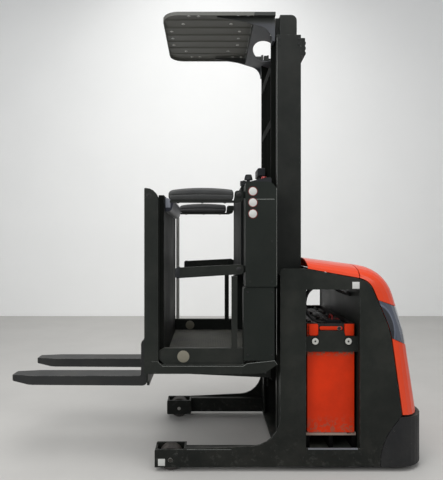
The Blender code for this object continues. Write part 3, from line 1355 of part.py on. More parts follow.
def main():
    mast_joint = pivot("mast_lift", (middle(INNER_X), 0.0, INNER_BOTTOM))
    cab_joint = pivot("cab_lift", (CAB_REAR[0], 0.0, UPRIGHT_Z[0]), mast_joint)
    hood_joint = pivot("hood_hinge", (SEAM_X, 0.0, 1.215))
    door_joint = pivot("door_hinge", (*DOOR_HINGE, 0.600))
    steer_joint = pivot("steering", (DRIVE_X, 0.0, BRIDGE_Z[1]))
    drive_joint = pivot("drive_spin", (DRIVE_X, 0.0, DRIVE_WHEEL_R), steer_joint)
    chassis_frame()
    battery_bay()
    bumper()
    covers(hood_joint, door_joint)
    drive(steer_joint, drive_joint)
    fixed_mast()
    inner_mast(mast_joint)
    cab_rear_frame(cab_joint)
    overhead_guard(cab_joint)
    guard_support(cab_joint)
    platform(cab_joint)
    front_end(cab_joint)
    console(cab_joint)
    forks(cab_joint)
    for label, side in SIDES:
        side_frame("side_frame_" + label, side)
        spin = pivot("load_spin_" + label, (LOAD_AXLE_X, side * LOAD_WHEEL_Y, LOAD_WHEEL_R))
        load_wheel("load_wheel_" + label, side, spin)
        arm_joint = pivot("gate_arm_hinge_" + label, (GATE_PIVOT_X, side * GATE_Y, ARMREST_PIVOT_Z), cab_joint)
        bar_joint = pivot("gate_bar_hinge_" + label, (GATE_PIVOT_X, side * GATE_Y, MID_BAR_PIVOT_Z), cab_joint)
        gate(label, side, arm_joint, bar_joint)


main()
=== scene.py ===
import math
from typing import NamedTuple

import bmesh
import bpy
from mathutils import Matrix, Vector


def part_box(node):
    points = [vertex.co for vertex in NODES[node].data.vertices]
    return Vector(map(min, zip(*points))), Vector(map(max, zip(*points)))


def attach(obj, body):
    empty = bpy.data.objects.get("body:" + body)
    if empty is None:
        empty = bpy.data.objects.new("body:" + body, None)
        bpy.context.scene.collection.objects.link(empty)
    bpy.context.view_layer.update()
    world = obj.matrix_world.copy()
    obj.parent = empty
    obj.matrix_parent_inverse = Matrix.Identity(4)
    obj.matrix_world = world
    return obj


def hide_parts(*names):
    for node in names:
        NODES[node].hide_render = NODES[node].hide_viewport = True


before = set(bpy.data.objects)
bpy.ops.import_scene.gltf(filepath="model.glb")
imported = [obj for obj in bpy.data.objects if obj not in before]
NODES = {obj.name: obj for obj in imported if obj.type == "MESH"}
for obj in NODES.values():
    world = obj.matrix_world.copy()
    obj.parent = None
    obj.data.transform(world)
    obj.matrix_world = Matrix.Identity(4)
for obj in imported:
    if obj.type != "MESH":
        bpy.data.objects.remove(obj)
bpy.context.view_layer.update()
SIDES = (("left", -1), ("right", 1))


def middle_of(node):
    """The middle of a CAD node's box."""
    low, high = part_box(node)
    return (low + high) / 2


# Places that pieces share, taken from the CAD
LOAD_AXLE = middle_of("load_axle_right")
DRIVE_AXLE = middle_of("drive_wheel")
MOTOR_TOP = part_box("traction_motor")[1].z
BARREL = middle_of("lift_barrel_right")
BARREL_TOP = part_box("lift_barrel_right")[1].z
CHAIN_Y = middle_of("lift_chain_right").y
PAD_Y = middle_of("armrest_pad_right").y
BAR_Y = middle_of("gate_bar_right").y
STOP = middle_of("stop_button")
FRAME_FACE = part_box("side_frame_left")[0].y
CAB_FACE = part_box("console_side_left")[0].y
TIE_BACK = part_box("mast_tie_top")[1].x


def srgb(red, green, blue):
    """A colour read off a 0 to 255 chart, as the shader wants it."""
    def straight(value):
        value = value / 255
        return value / 12.92 if value <= 0.04045 else ((value + 0.055) / 1.055) ** 2.4

    return (straight(red), straight(green), straight(blue), 1.0)


# Shader effects that several finishes share
def effect(name, inputs, outputs):
    """An empty node group with named sockets: kind, name and default for each input."""
    tree = bpy.data.node_groups.new(name, "ShaderNodeTree")
    for kind, label, default in inputs:
        socket = tree.interface.new_socket(label, in_out="INPUT", socket_type=kind)
        socket.default_value = default
    for kind, label in outputs:
        tree.interface.new_socket(label, in_out="OUTPUT", socket_type=kind)
    return tree, tree.nodes.new("NodeGroupInput"), tree.nodes.new("NodeGroupOutput")


def feed(tree, value, socket):
    """A plain value is set on the socket, and an output is linked to it."""
    if isinstance(value, (int, float, tuple)):
        socket.default_value = value
    else:
        tree.links.new(value, socket)


def math_node(tree, operation, first, second=None, clamp=False):
    made = tree.nodes.new("ShaderNodeMath")
    made.operation = operation
    made.use_clamp = clamp
    for socket, value in zip(made.inputs, (first, second)):
        if value is not None:
            feed(tree, value, socket)
    return made.outputs[0]


def product(tree, first, second):
    """One value times another."""
    return math_node(tree, "MULTIPLY", first, second)


def noise(tree, place, scale, detail=3.0, roughness=0.55):
    """A noise over a place, from 0 to 1."""
    made = tree.nodes.new("ShaderNodeTexNoise")
    made.inputs["Detail"].default_value = detail
    made.inputs["Roughness"].default_value = roughness
    tree.links.new(place, made.inputs["Vector"])
    feed(tree, scale, made.inputs["Scale"])
    return made.outputs["Fac"]


def ramp(tree, value, low, high):
    """A smooth step from 0 at low to 1 at high."""
    made = tree.nodes.new("ShaderNodeMapRange")
    made.interpolation_type = "SMOOTHSTEP"
    for label, given in (("From Min", low), ("From Max", high), ("Value", value)):
        feed(tree, given, made.inputs[label])
    return made.outputs["Result"]


def object_place(tree):
    """The place on the surface in the piece's own coordinates."""
    return tree.nodes.new("ShaderNodeTexCoord").outputs["Object"]


def distance(tree, across, along):
    """The length of the diagonal over two sides."""
    squares = math_node(tree, "ADD", product(tree, across, across), product(tree, along, along))
    return math_node(tree, "SQRT", squares)


def split(tree, place):
    """The X, Y and Z of a place or a direction."""
    made = tree.nodes.new("ShaderNodeSeparateXYZ")
    tree.links.new(place, made.inputs[0])
    return made.outputs


def edge_wear_effect():
    """Bare, rubbed edges: 1 on a convex edge, broken up by a noise."""
    tree, given, made = effect(
        "edge wear",
        (("NodeSocketFloat", "Width", 0.003), ("NodeSocketFloat", "Amount", 0.5),
         ("NodeSocketFloat", "Patches", 30.0)),
        (("NodeSocketFloat", "Mask"),),
    )
    bevel = tree.nodes.new("ShaderNodeBevel")
    bevel.samples = 6
    tree.links.new(given.outputs["Width"], bevel.inputs["Radius"])
    flat = tree.nodes.new("ShaderNodeNewGeometry").outputs["Normal"]
    turn = tree.nodes.new("ShaderNodeVectorMath")
    turn.operation = "DOT_PRODUCT"
    tree.links.new(bevel.outputs["Normal"], turn.inputs[0])
    tree.links.new(flat, turn.inputs[1])
    edge = ramp(tree, math_node(tree, "SUBTRACT", 1.0, turn.outputs["Value"]), 0.02, 0.16)
    patches = noise(tree, object_place(tree), given.outputs["Patches"], 4.0, 0.65)
    limit = math_node(tree, "SUBTRACT", 0.95, given.outputs["Amount"])
    broken = ramp(tree, patches, limit, math_node(tree, "ADD", limit, 0.12))
    tree.links.new(product(tree, edge, broken), made.inputs["Mask"])
    return tree


def dust_effect():
    """Settled dust: more on what faces up, in soft patches."""
    tree, given, made = effect(
        "settled dust",
        (("NodeSocketFloat", "Amount", 0.4), ("NodeSocketFloat", "Patches", 5.0)),
        (("NodeSocketFloat", "Mask"),),
    )
    facing = split(tree, tree.nodes.new("ShaderNodeNewGeometry").outputs["Normal"])
    up = ramp(tree, facing["Z"], -0.2, 1.0)
    patches = ramp(tree, noise(tree, object_place(tree), given.outputs["Patches"], 5.0, 0.7), 0.35, 0.75)
    share = math_node(tree, "ADD", product(tree, up, 0.75), 0.15)
    mixed = product(tree, product(tree, share, patches), given.outputs["Amount"])
    tree.links.new(mixed, made.inputs["Mask"])
    return tree


def grain_effect():
    """The fine texture of a coat: a height for the bump and a slow drift in shade."""
    tree, given, made = effect(
        "coat grain",
        (("NodeSocketFloat", "Grain", 400.0), ("NodeSocketFloat", "Drift", 3.0)),
        (("NodeSocketFloat", "Height"), ("NodeSocketFloat", "Shade")),
    )
    place = object_place(tree)
    tree.links.new(noise(tree, place, given.outputs["Grain"], 2.0, 0.5), made.inputs["Height"])
    tree.links.new(ramp(tree, noise(tree, place, given.outputs["Drift"], 5.0, 0.6), 0.3, 0.7),
                   made.inputs["Shade"])
    return tree


def scratch_effect():
    """Long fine scratches: a noise drawn out along one direction by the stretch."""
    tree, given, made = effect(
        "drawn scratches",
        (("NodeSocketVector", "Stretch", (2.0, 60.0, 60.0)), ("NodeSocketFloat", "Amount", 0.3)),
        (("NodeSocketFloat", "Mask"),),
    )
    drawn = tree.nodes.new("ShaderNodeVectorMath")
    drawn.operation = "MULTIPLY"
    tree.links.new(object_place(tree), drawn.inputs[0])
    tree.links.new(given.outputs["Stretch"], drawn.inputs[1])
    lines = noise(tree, drawn.outputs[0], 1.0, 3.0, 0.6)
    patches = noise(tree, object_place(tree), 6.0, 2.0, 0.5)
    limit = math_node(tree, "SUBTRACT", 0.86, product(tree, given.outputs["Amount"], 0.35))
    fine = ramp(tree, math_node(tree, "ADD", product(tree, lines, 0.8),
                                product(tree, patches, 0.25)), limit,
                math_node(tree, "ADD", limit, 0.05))
    tree.links.new(fine, made.inputs["Mask"])
    return tree


EDGE_WEAR = edge_wear_effect()
DUST = dust_effect()
GRAIN = grain_effect()
SCRATCHES = scratch_effect()


# Finishes
class Coat(NamedTuple):
    """A finish: its colour, what shows where it is rubbed through, its gloss and how it has aged."""
    base: tuple
    under: tuple
    roughness: float = 0.45
    metal: float = 0.0
    under_metal: float = 0.0
    under_roughness: float = 0.4
    gloss_coat: float = 0.0
    wear: float = 0.3
    wear_width: float = 0.003
    patches: float = 30.0
    scratches: float = 0.2
    stretch: tuple = (3.0, 70.0, 70.0)
    dust: float = 0.25
    dust_colour: tuple = srgb(120, 116, 108)
    grain: float = 450.0
    grain_height: float = 0.15
    drift: float = 0.10
    drift_scale: float = 3.0
    round_edges: float = 0.0012
    specular: float = 0.5


PRIMER = srgb(96, 98, 96)

COATS = {
    "charcoal paint": Coat(srgb(31, 34, 31), PRIMER, 0.45, wear=0.38, scratches=0.30, specular=0.18),
    "dim paint": Coat(srgb(15, 17, 15), srgb(60, 62, 60), 0.60, wear=0.30, scratches=0.20, dust=0.10,
                      specular=0.06),
    "frame paint": Coat(srgb(18, 20, 18), srgb(48, 50, 48), 0.70, wear=0.25, scratches=0.20, dust=0.06,
                        specular=0.03),
    "dim moulding": Coat(srgb(20, 22, 22), srgb(60, 60, 60), 0.65, wear=0.12, dust=0.08, grain=900.0,
                         specular=0.10),
    # bright for rubbed-off paint and for painted edge highlights
    "rubbed and lit edge": Coat(srgb(74, 78, 74), srgb(150, 152, 148), 0.45, wear=0.75, wear_width=0.004,
                        patches=26.0, scratches=0.3, dust=0.05, drift=0.35, drift_scale=14.0,
                        round_edges=0.0),
    "lit lip grey": Coat(srgb(118, 122, 128), srgb(160, 162, 164), 0.40, metal=0.3, under_metal=0.6, wear=0.4,
                     dust=0.15),
    "grab bar grey": Coat(srgb(196, 196, 190), srgb(150, 150, 146), 0.40, wear=0.20, dust=0.10),
    "mast paint": Coat(srgb(30, 32, 30), srgb(104, 106, 104), 0.45, under_metal=0.5, wear=0.50,
                       specular=0.16, stretch=(60.0, 60.0, 1.5), scratches=0.45, dust=0.18),
    "leg paint": Coat(srgb(32, 34, 32), srgb(110, 110, 106), 0.45, under_metal=0.7, wear=0.45,
                      specular=0.18, stretch=(2.0, 40.0, 40.0), scratches=0.40, dust=0.30),
    "fork paint": Coat(srgb(40, 41, 41), srgb(130, 130, 128), 0.45, under_metal=0.6, wear=0.52,
                       wear_width=0.004, specular=0.25, stretch=(1.2, 50.0, 50.0), scratches=0.40,
                       dust=0.20, patches=14.0),
    "roof paint": Coat(srgb(88, 89, 84), srgb(108, 108, 104), 0.55, wear=0.25, dust=0.35, drift=0.08),
    # the bracket's lighter, bluish tone is painted reflected light
    "bracket paint and reflection": Coat(srgb(62, 64, 68), srgb(110, 112, 116), 0.45, wear=0.30, dust=0.12, specular=0.3),
    "console paint": Coat(srgb(30, 34, 31), PRIMER, 0.50, wear=0.30, dust=0.10, grain=700.0,
                          grain_height=0.25, specular=0.15),
    "cover paint": Coat(srgb(220, 62, 16), srgb(130, 50, 30), 0.34, gloss_coat=0.25, wear=0.12,
                        wear_width=0.002, scratches=0.10, dust=0.03, specular=0.35,
                        dust_colour=srgb(170, 110, 90), grain=180.0, grain_height=0.03, drift=0.05,
                        drift_scale=1.5),
    "battery coat": Coat(srgb(208, 48, 4), srgb(104, 38, 20), 0.46, wear=0.35, scratches=0.30, specular=0.2,
                         dust=0.12, dust_colour=srgb(120, 60, 40), drift=0.16, patches=22.0),
    "skirt rubber": Coat(srgb(24, 25, 27), srgb(90, 90, 92), 0.55, wear=0.40, wear_width=0.004,
                         scratches=0.45, specular=0.3, dust=0.30, grain=900.0, grain_height=0.4),
    "black moulding": Coat(srgb(27, 29, 33), srgb(76, 76, 78), 0.50, wear=0.15, dust=0.16, grain=1100.0,
                           specular=0.3, grain_height=0.5),
    "band gloss": Coat(srgb(26, 29, 36), srgb(70, 70, 74), 0.10, gloss_coat=0.8, wear=0.08, scratches=0.12,
                       dust=0.06, grain=120.0, grain_height=0.02),
    "bright steel": Coat(srgb(172, 172, 168), srgb(205, 205, 202), 0.30, metal=1.0, under_metal=1.0,
                         wear=0.4, scratches=0.5, dust=0.15, dust_colour=srgb(82, 72, 62), drift=0.18),
    "rod chrome": Coat(srgb(200, 202, 205), srgb(220, 220, 220), 0.12, metal=1.0, under_metal=1.0, wear=0.1,
                       scratches=0.2, dust=0.04, stretch=(40.0, 40.0, 1.0), grain_height=0.02),
    "oily iron": Coat(srgb(58, 56, 52), srgb(120, 116, 108), 0.42, metal=0.7, under_metal=1.0, wear=0.5,
                      dust=0.30, dust_colour=srgb(58, 48, 38), drift=0.25, drift_scale=9.0),
    "casting": Coat(srgb(60, 61, 62), srgb(110, 108, 104), 0.62, metal=0.4, under_metal=0.8, wear=0.3,
                    dust=0.35, grain=260.0, grain_height=0.8),
    "tray moulding": Coat(srgb(152, 156, 166), srgb(190, 192, 198), 0.45, wear=0.3, dust=0.20, grain=900.0,
                          grain_height=0.2),
    "stop red": Coat(srgb(150, 18, 16), srgb(120, 20, 18), 0.30, gloss_coat=0.3, wear=0.1, dust=0.05),
    "cable sheath": Coat(srgb(26, 26, 27), srgb(60, 60, 60), 0.50, wear=0.1, dust=0.35, grain=700.0),
    "cable red": Coat(srgb(150, 20, 16), srgb(90, 30, 26), 0.45, wear=0.1, dust=0.20),
    "label white": Coat(srgb(196, 197, 193), srgb(150, 150, 148), 0.40, wear=0.10, dust=0.12,
                        scratches=0.08, grain_height=0.03),
    "sign red": Coat(srgb(112, 26, 24), srgb(90, 60, 58), 0.40, wear=0.1, dust=0.10, grain_height=0.03),
    "label worn": Coat(srgb(120, 116, 102), srgb(70, 70, 66), 0.50, wear=0.2, dust=0.30, scratches=0.5,
                       grain_height=0.03),
    "washer zinc": Coat(srgb(196, 196, 190), srgb(225, 225, 222), 0.35, metal=0.3, under_metal=0.8,
                        wear=0.3, dust=0.12),
    "cap grey": Coat(srgb(60, 60, 58), srgb(90, 90, 88), 0.45, wear=0.1, dust=0.35),
    "fixing zinc": Coat(srgb(128, 128, 124), srgb(180, 180, 176), 0.38, metal=0.9, under_metal=1.0,
                        wear=0.4, dust=0.25, dust_colour=srgb(70, 60, 50)),
    "fixing black": Coat(srgb(34, 35, 35), srgb(110, 110, 108), 0.40, metal=0.4, under_metal=0.8, wear=0.35,
                         dust=0.20),
}


def placed(tree, group, **values):
    """A shared effect put into a finish with its own values."""
    made = tree.nodes.new("ShaderNodeGroup")
    made.node_tree = group
    for label, value in values.items():
        made.inputs[label].default_value = value
    return made.outputs


def mix_colour(tree, share, first, second, blend="MIX"):
    """The first colour, turning into the second with the share."""
    made = tree.nodes.new("ShaderNodeMix")
    made.data_type = "RGBA"
    made.blend_type = blend
    feed(tree, share, made.inputs[0])
    feed(tree, first, made.inputs[6])
    feed(tree, second, made.inputs[7])
    return made.outputs[2]


def mix_value(tree, share, first, second):
    """The first value, turning into the second with the share."""
    made = tree.nodes.new("ShaderNodeMix")
    made.data_type = "FLOAT"
    feed(tree, share, made.inputs[0])
    feed(tree, first, made.inputs[2])
    feed(tree, second, made.inputs[3])
    return made.outputs[0]


def shaded(colour, factor):
    """A colour made darker or lighter."""
    return tuple(min(1.0, part * factor) for part in colour[:3]) + (1.0,)


def bump(tree, shader, height, strength, distance=0.001, edge_radius=0.0):
    """Relief from a height, over edges that are rounded in the light only."""
    made = tree.nodes.new("ShaderNodeBump")
    made.inputs["Strength"].default_value = strength
    made.inputs["Distance"].default_value = distance
    tree.links.new(height, made.inputs["Height"])
    if edge_radius:
        soft = tree.nodes.new("ShaderNodeBevel")
        soft.samples = 4
        soft.inputs["Radius"].default_value = edge_radius
        tree.links.new(soft.outputs["Normal"], made.inputs["Normal"])
    tree.links.new(made.outputs["Normal"], shader.inputs["Normal"])


def blank_finish(name):
    """A new material, its nodes and its shader."""
    material = bpy.data.materials.new(name)
    material.use_nodes = True
    tree = material.node_tree
    return material, tree, tree.nodes["Principled BSDF"]


def coated(name, coat, recolour=None):
    """A painted, moulded or bare metal finish with drift, rubbed edges, scratches and dust.

    recolour takes the tree and the clean colour, and gives back a colour that changes over the surface.
    """
    material, tree, shader = blank_finish(name)
    grain = placed(tree, GRAIN, Grain=coat.grain, Drift=coat.drift_scale)
    edge = placed(tree, EDGE_WEAR, Width=coat.wear_width, Amount=coat.wear, Patches=coat.patches)["Mask"]
    lines = placed(tree, SCRATCHES, Stretch=coat.stretch, Amount=coat.scratches)["Mask"]
    dust = placed(tree, DUST, Amount=coat.dust)["Mask"]
    clean = mix_colour(tree, grain["Shade"], shaded(coat.base, 1 - coat.drift),
                       shaded(coat.base, 1 + coat.drift))
    if recolour:
        clean = recolour(tree, clean)
    rubbed = math_node(tree, "MAXIMUM", edge, product(tree, lines, 0.5))
    colour = mix_colour(tree, dust, mix_colour(tree, rubbed, clean, coat.under), coat.dust_colour)
    tree.links.new(colour, shader.inputs["Base Color"])
    rough = mix_value(tree, grain["Shade"], coat.roughness * 0.9, min(1.0, coat.roughness * 1.12))
    rough = mix_value(tree, dust, mix_value(tree, rubbed, rough, coat.under_roughness), 0.85)
    tree.links.new(rough, shader.inputs["Roughness"])
    if coat.metal or coat.under_metal:
        bare = mix_value(tree, rubbed, coat.metal, coat.under_metal)
        tree.links.new(mix_value(tree, dust, bare, 0.0), shader.inputs["Metallic"])
    shader.inputs["Specular IOR Level"].default_value = coat.specular
    if coat.gloss_coat:
        shader.inputs["Coat Weight"].default_value = coat.gloss_coat
        shader.inputs["Coat Roughness"].default_value = 0.08
    height = math_node(tree, "SUBTRACT", grain["Height"], product(tree, lines, 0.8))
    bump(tree, shader, height, coat.grain_height, 0.0006, coat.round_edges)
    return material


FINISH = {name: coated(name, coat) for name, coat in COATS.items()}


def mat_finish():
    """The platform's rubber mat: rows of raised studs, worn and dusty where the operator stands."""
    material, tree, shader = blank_finish("mat rubber")
    place = object_place(tree)
    studs = tree.nodes.new("ShaderNodeTexVoronoi")
    studs.feature = "F1"
    studs.inputs["Scale"].default_value = 60.0
    studs.inputs["Randomness"].default_value = 0.0
    tree.links.new(place, studs.inputs["Vector"])
    raised = ramp(tree, math_node(tree, "SUBTRACT", 1.0, studs.outputs["Distance"]), 0.55, 0.75)
    grain = placed(tree, GRAIN, Grain=900.0, Drift=4.0)
    dust = placed(tree, DUST, Amount=0.75, Patches=7.0)["Mask"]
    clean = mix_colour(tree, grain["Shade"], srgb(52, 53, 48), srgb(72, 72, 65))
    worn = mix_colour(tree, product(tree, raised, 0.35), clean, srgb(98, 96, 90))
    tree.links.new(mix_colour(tree, dust, worn, srgb(100, 100, 90)), shader.inputs["Base Color"])
    tree.links.new(mix_value(tree, dust, 0.7, 0.95), shader.inputs["Roughness"])
    height = math_node(tree, "ADD", raised, product(tree, grain["Height"], 0.2))
    bump(tree, shader, height, 0.6, 0.0015)
    return material


def pad_finish():
    """The armrests' soft skin: a fine leather grain with a slight sheen and rubbed tops."""
    material, tree, shader = blank_finish("armrest skin")
    place = object_place(tree)
    cells = tree.nodes.new("ShaderNodeTexVoronoi")
    cells.feature = "DISTANCE_TO_EDGE"
    cells.inputs["Scale"].default_value = 420.0
    tree.links.new(place, cells.inputs["Vector"])
    crease = ramp(tree, cells.outputs["Distance"], 0.0, 0.22)
    grain = placed(tree, GRAIN, Grain=1200.0, Drift=14.0)
    dust = placed(tree, DUST, Amount=0.30, Patches=9.0)["Mask"]
    clean = mix_colour(tree, grain["Shade"], srgb(34, 36, 35), srgb(50, 52, 51))
    creased = mix_colour(tree, crease, srgb(30, 31, 31), clean)
    tree.links.new(mix_colour(tree, dust, creased, srgb(108, 106, 102)), shader.inputs["Base Color"])
    tree.links.new(mix_value(tree, dust, 0.42, 0.85), shader.inputs["Roughness"])
    shader.inputs["Sheen Weight"].default_value = 0.08
    bump(tree, shader, math_node(tree, "ADD", crease, grain["Height"]), 0.35, 0.0005)
    return material


def wheel_finish(name, axle, hub_radius, tread_colour):
    """A moulded tread round a bare steel hub, told apart by the distance from the axle (x, z)."""
    material, tree, shader = blank_finish(name)
    at = split(tree, object_place(tree))
    across_x = math_node(tree, "SUBTRACT", at["X"], axle[0])
    across_z = math_node(tree, "SUBTRACT", at["Z"], axle[1])
    tread = ramp(tree, distance(tree, across_x, across_z), hub_radius, hub_radius + 0.0006)
    grain = placed(tree, GRAIN, Grain=300.0, Drift=20.0)
    dust = placed(tree, DUST, Amount=0.5, Patches=12.0)["Mask"]
    rubber = mix_colour(tree, grain["Shade"], shaded(tread_colour, 0.8), shaded(tread_colour, 1.25))
    hub = mix_colour(tree, grain["Shade"], srgb(84, 82, 78), srgb(120, 118, 112))
    clean = mix_colour(tree, tread, hub, rubber)
    tree.links.new(mix_colour(tree, dust, clean, srgb(104, 96, 84)), shader.inputs["Base Color"])
    tree.links.new(mix_value(tree, tread, 0.38, 0.68), shader.inputs["Roughness"])
    tree.links.new(mix_value(tree, tread, 0.85, 0.0), shader.inputs["Metallic"])
    bump(tree, shader, grain["Height"], 0.35, 0.0008)
    return material


def foot_shade_and_scuffs(tree, clean):
    """The side frame: painted shade darkening it towards the floor, with faint scuffs along its foot."""
    at = split(tree, object_place(tree))
    low = ramp(tree, at["Z"], 0.28, 0.03)
    marks = ramp(tree, noise(tree, object_place(tree), 24.0, 6.0, 0.75), 0.55, 0.62)
    # painted shade: the frame is drawn darker the nearer it is to the floor
    shade = product(tree, ramp(tree, at["Z"], 0.70, 0.05), 0.6)
    with_painted_shade = mix_colour(tree, shade, clean, srgb(14, 16, 14))
    return mix_colour(tree, product(tree, low, product(tree, marks, 0.22)),
                      with_painted_shade, srgb(84, 84, 80))


def marked(tree, clean):
    """The battery tray: dark over its rim, scuffed under the lock and along its foot."""
    place = object_place(tree)
    at = split(tree, place)
    top = ramp(tree, at["Z"], 0.8555, 0.8575)
    inner = ramp(tree, math_node(tree, "ABSOLUTE", at["Y"]), 0.4150, 0.4142)
    high = ramp(tree, at["Z"], 0.826, 0.830)
    dark = math_node(tree, "MAXIMUM", top, product(tree, inner, high))
    patches = ramp(tree, noise(tree, place, 42.0, 6.0, 0.75), 0.50, 0.55)
    under_lock = product(tree, ramp(tree, at["Z"], 0.655, 0.685), 0.9)
    foot = product(tree, ramp(tree, at["Z"], 0.330, 0.215), 0.55)
    scuffs = product(tree, patches, math_node(tree, "MAXIMUM", under_lock, foot))
    worn = mix_colour(tree, scuffs, clean, srgb(112, 92, 74))
    return mix_colour(tree, dark, worn, srgb(34, 26, 24))


def stripped(tree, clean):
    """The battery bed: a bright worn strip under the tray, and near-black rails below."""
    at = split(tree, object_place(tree))
    strip = ramp(tree, at["Z"], 0.1890, 0.1900)
    worn = ramp(tree, noise(tree, object_place(tree), 18.0, 4.0, 0.6), 0.30, 0.48)
    return mix_colour(tree, product(tree, strip, worn), clean, srgb(150, 132, 122))


def band_with_painted_glints(tree, clean):
    """The door's gloss band: a painted bluish reflection lightens its flanks, and a painted highlight rings
    the darker lens towards the door's front edge.
    """
    at = split(tree, object_place(tree))
    across = math_node(tree, "DIVIDE", math_node(tree, "SUBTRACT", at["X"], 0.952), 0.118)
    along = math_node(tree, "DIVIDE", math_node(tree, "SUBTRACT", at["Z"], 0.815), 0.170)
    reach = distance(tree, across, along)
    outside = ramp(tree, reach, 0.96, 1.02)
    rim = product(tree, ramp(tree, reach, 0.93, 0.985), ramp(tree, reach, 1.05, 1.0))
    flank = ramp(tree, math_node(tree, "ABSOLUTE", at["Y"]), 0.20, 0.40)
    # painted reflection: the band's flanks are drawn lighter and bluish
    body = mix_colour(tree, product(tree, outside, flank), clean, srgb(66, 72, 86))
    # painted highlight: a lighter ring round the lens
    painted_highlight_share = product(tree, product(tree, rim, flank), 0.45)
    return mix_colour(tree, painted_highlight_share, body, srgb(120, 128, 146))


def bracket_reflection_grade(tree, clean):
    """The roof's bracket: darker along its top than on its bluish sides, whose lighter tone is painted
    reflected light.
    """
    at = split(tree, object_place(tree))
    high = ramp(tree, at["Z"], 2.690, 2.712)
    # painted reflection: below the top edge the sides keep the lighter bluish tone
    return mix_colour(tree, high, clean, srgb(46, 48, 46))


def inner_face_shade(tree, clean):
    """The front wall: painted shade on the face towards the operator."""
    at = split(tree, object_place(tree))
    # painted shade: the face towards the operator is drawn near black
    return mix_colour(tree, ramp(tree, at["X"], -0.3100, -0.3080), clean, srgb(15, 17, 15))


def light_lip_dark_body(tree, clean):
    """The document tray: a light lip over a dark blue body."""
    at = split(tree, object_place(tree))
    lip = ramp(tree, at["Z"], 1.5540, 1.5560)
    front = ramp(tree, at["X"], -0.2520, -0.2560)
    return mix_colour(tree, product(tree, lip, front), srgb(40, 43, 54), clean)


# Finishes that change over their surface: name, coat, and what changes the clean colour
RECOLOURED = (
    ("battery tray coat", COATS["battery coat"], marked),
    ("battery bed paint", COATS["dim paint"]._replace(base=srgb(8, 8, 8), dust=0.04), stripped),
    ("door band gloss", COATS["band gloss"], band_with_painted_glints),
    ("document tray moulding", COATS["tray moulding"], light_lip_dark_body),
    ("roof bracket paint and reflection", COATS["bracket paint and reflection"], bracket_reflection_grade),
    # the front wall's paint, with painted shade on its inner face
    ("front wall paint and painted shade", COATS["charcoal paint"]._replace(specular=0.08, roughness=0.6, dust=0.12), inner_face_shade),
    # the side frame's paint, with painted shade towards the floor
    ("side frame paint and painted shade", COATS["charcoal paint"]._replace(wear=0.50, scratches=0.40, dust=0.30), foot_shade_and_scuffs),
)
for name, coat, recolour in RECOLOURED:
    FINISH[name] = coated(name, coat, recolour)
FINISH["mat rubber"] = mat_finish()
FINISH["armrest skin"] = pad_finish()
FINISH["drive tread"] = wheel_finish("drive tread", (DRIVE_AXLE.x, DRIVE_AXLE.z), 0.090, srgb(62, 44, 34))
FINISH["load tread"] = wheel_finish("load tread", (LOAD_AXLE.x, LOAD_AXLE.z), 0.048, srgb(48, 44, 42))


def both(stem):
    """The left and the right node of a name."""
    return tuple(f"{stem}_{label}" for label, _ in SIDES)


# Which finish each CAD node shows
NODE_FINISHES = (
    ("side frame paint and painted shade", both("side_frame")),
    ("front wall paint and painted shade", ("front_wall",)),
    ("charcoal paint", ("chassis_frame", *both("battery_lock"), "platform_frame", *both("front_post"),
                        "fork_carriage", *both("gate_arm"), *both("gate_bar"))),
    ("mast paint", (*both("mast_channel"), *both("inner_channel"), *both("lift_barrel"), "mast_tie_top",
                    "mast_tie_middle", "inner_mast_head", "inner_mast_tie")),
    ("frame paint", ("cab_rear_frame",)),
    ("fork paint", both("fork")),
    ("roof paint", ("overhead_guard",)),
    ("roof bracket paint and reflection", ("guard_support",)),
    ("console paint", ("console_lower", *both("console_side"))),
    ("dim moulding", ("console_cabinet",)),
    ("black moulding", ("control_panel", "battery_connector")),
    ("stop red", ("stop_button",)),
    ("grab bar grey", ("grab_bar",)),
    ("document tray moulding", ("document_tray",)),
    ("mat rubber", ("platform_mat",)),
    ("cover paint", ("battery_hood", "rear_door")),
    ("door band gloss", ("rear_door_insert",)),
    ("skirt rubber", ("bumper_skirt",)),
    ("battery tray coat", ("battery",)),
    ("battery bed paint", ("battery_bed",)),
    ("bright steel", both("load_axle")),
    ("rod chrome", both("lift_rod")),
    ("oily iron", both("lift_chain")),
    ("casting", ("drive_gearbox", "traction_motor")),
    ("drive tread", ("drive_wheel",)),
    ("load tread", both("load_wheel")),
    ("cable sheath", ("battery_cable_1", "battery_cable_2")),
    ("armrest skin", both("armrest_pad")),
)


def dress(node, finish):
    """A CAD node's material slots hold one finish."""
    mesh = NODES[node].data
    mesh.materials.clear()
    mesh.materials.append(FINISH[finish])


for finish, names in NODE_FINISHES:
    for node_name in names:
        dress(node_name, finish)


# Building pieces: forms are grown in one mesh and then made into a piece
def basis(axis):
    """A direction and two more square to it."""
    along = Vector(axis).normalized()
    side = along.orthogonal().normalized()
    return along, side, along.cross(side)


def ring_of(form, middle, side, up, radius, steps, turn=0.0):
    """Vertices on a circle round a middle."""
    made = []
    for k in range(steps):
        angle = turn + 2 * math.pi * k / steps
        made.append(form.verts.new(middle + (side * math.cos(angle) + up * math.sin(angle)) * radius))
    return made


def join_rings(form, rings, closed=False):
    """Walls between rings of equal count, and a cap on each end unless the rings close on themselves."""
    pairs = list(zip(rings, rings[1:]))
    if closed:
        pairs.append((rings[-1], rings[0]))
    for low, high in pairs:
        count = len(low)
        for k in range(count):
            form.faces.new((low[k], low[(k + 1) % count], high[(k + 1) % count], high[k]))
    if not closed:
        form.faces.new(rings[0][::-1])
        form.faces.new(rings[-1])


def add_turned(form, profile, centre, axis=(0, 0, 1), steps=24, turn=0.0):
    """A body turned about an axis, from pairs of radius and distance along it."""
    along, side, up = basis(axis)
    rings = [ring_of(form, Vector(centre) + along * far, side, up, radius, steps, turn)
             for radius, far in profile]
    join_rings(form, rings)


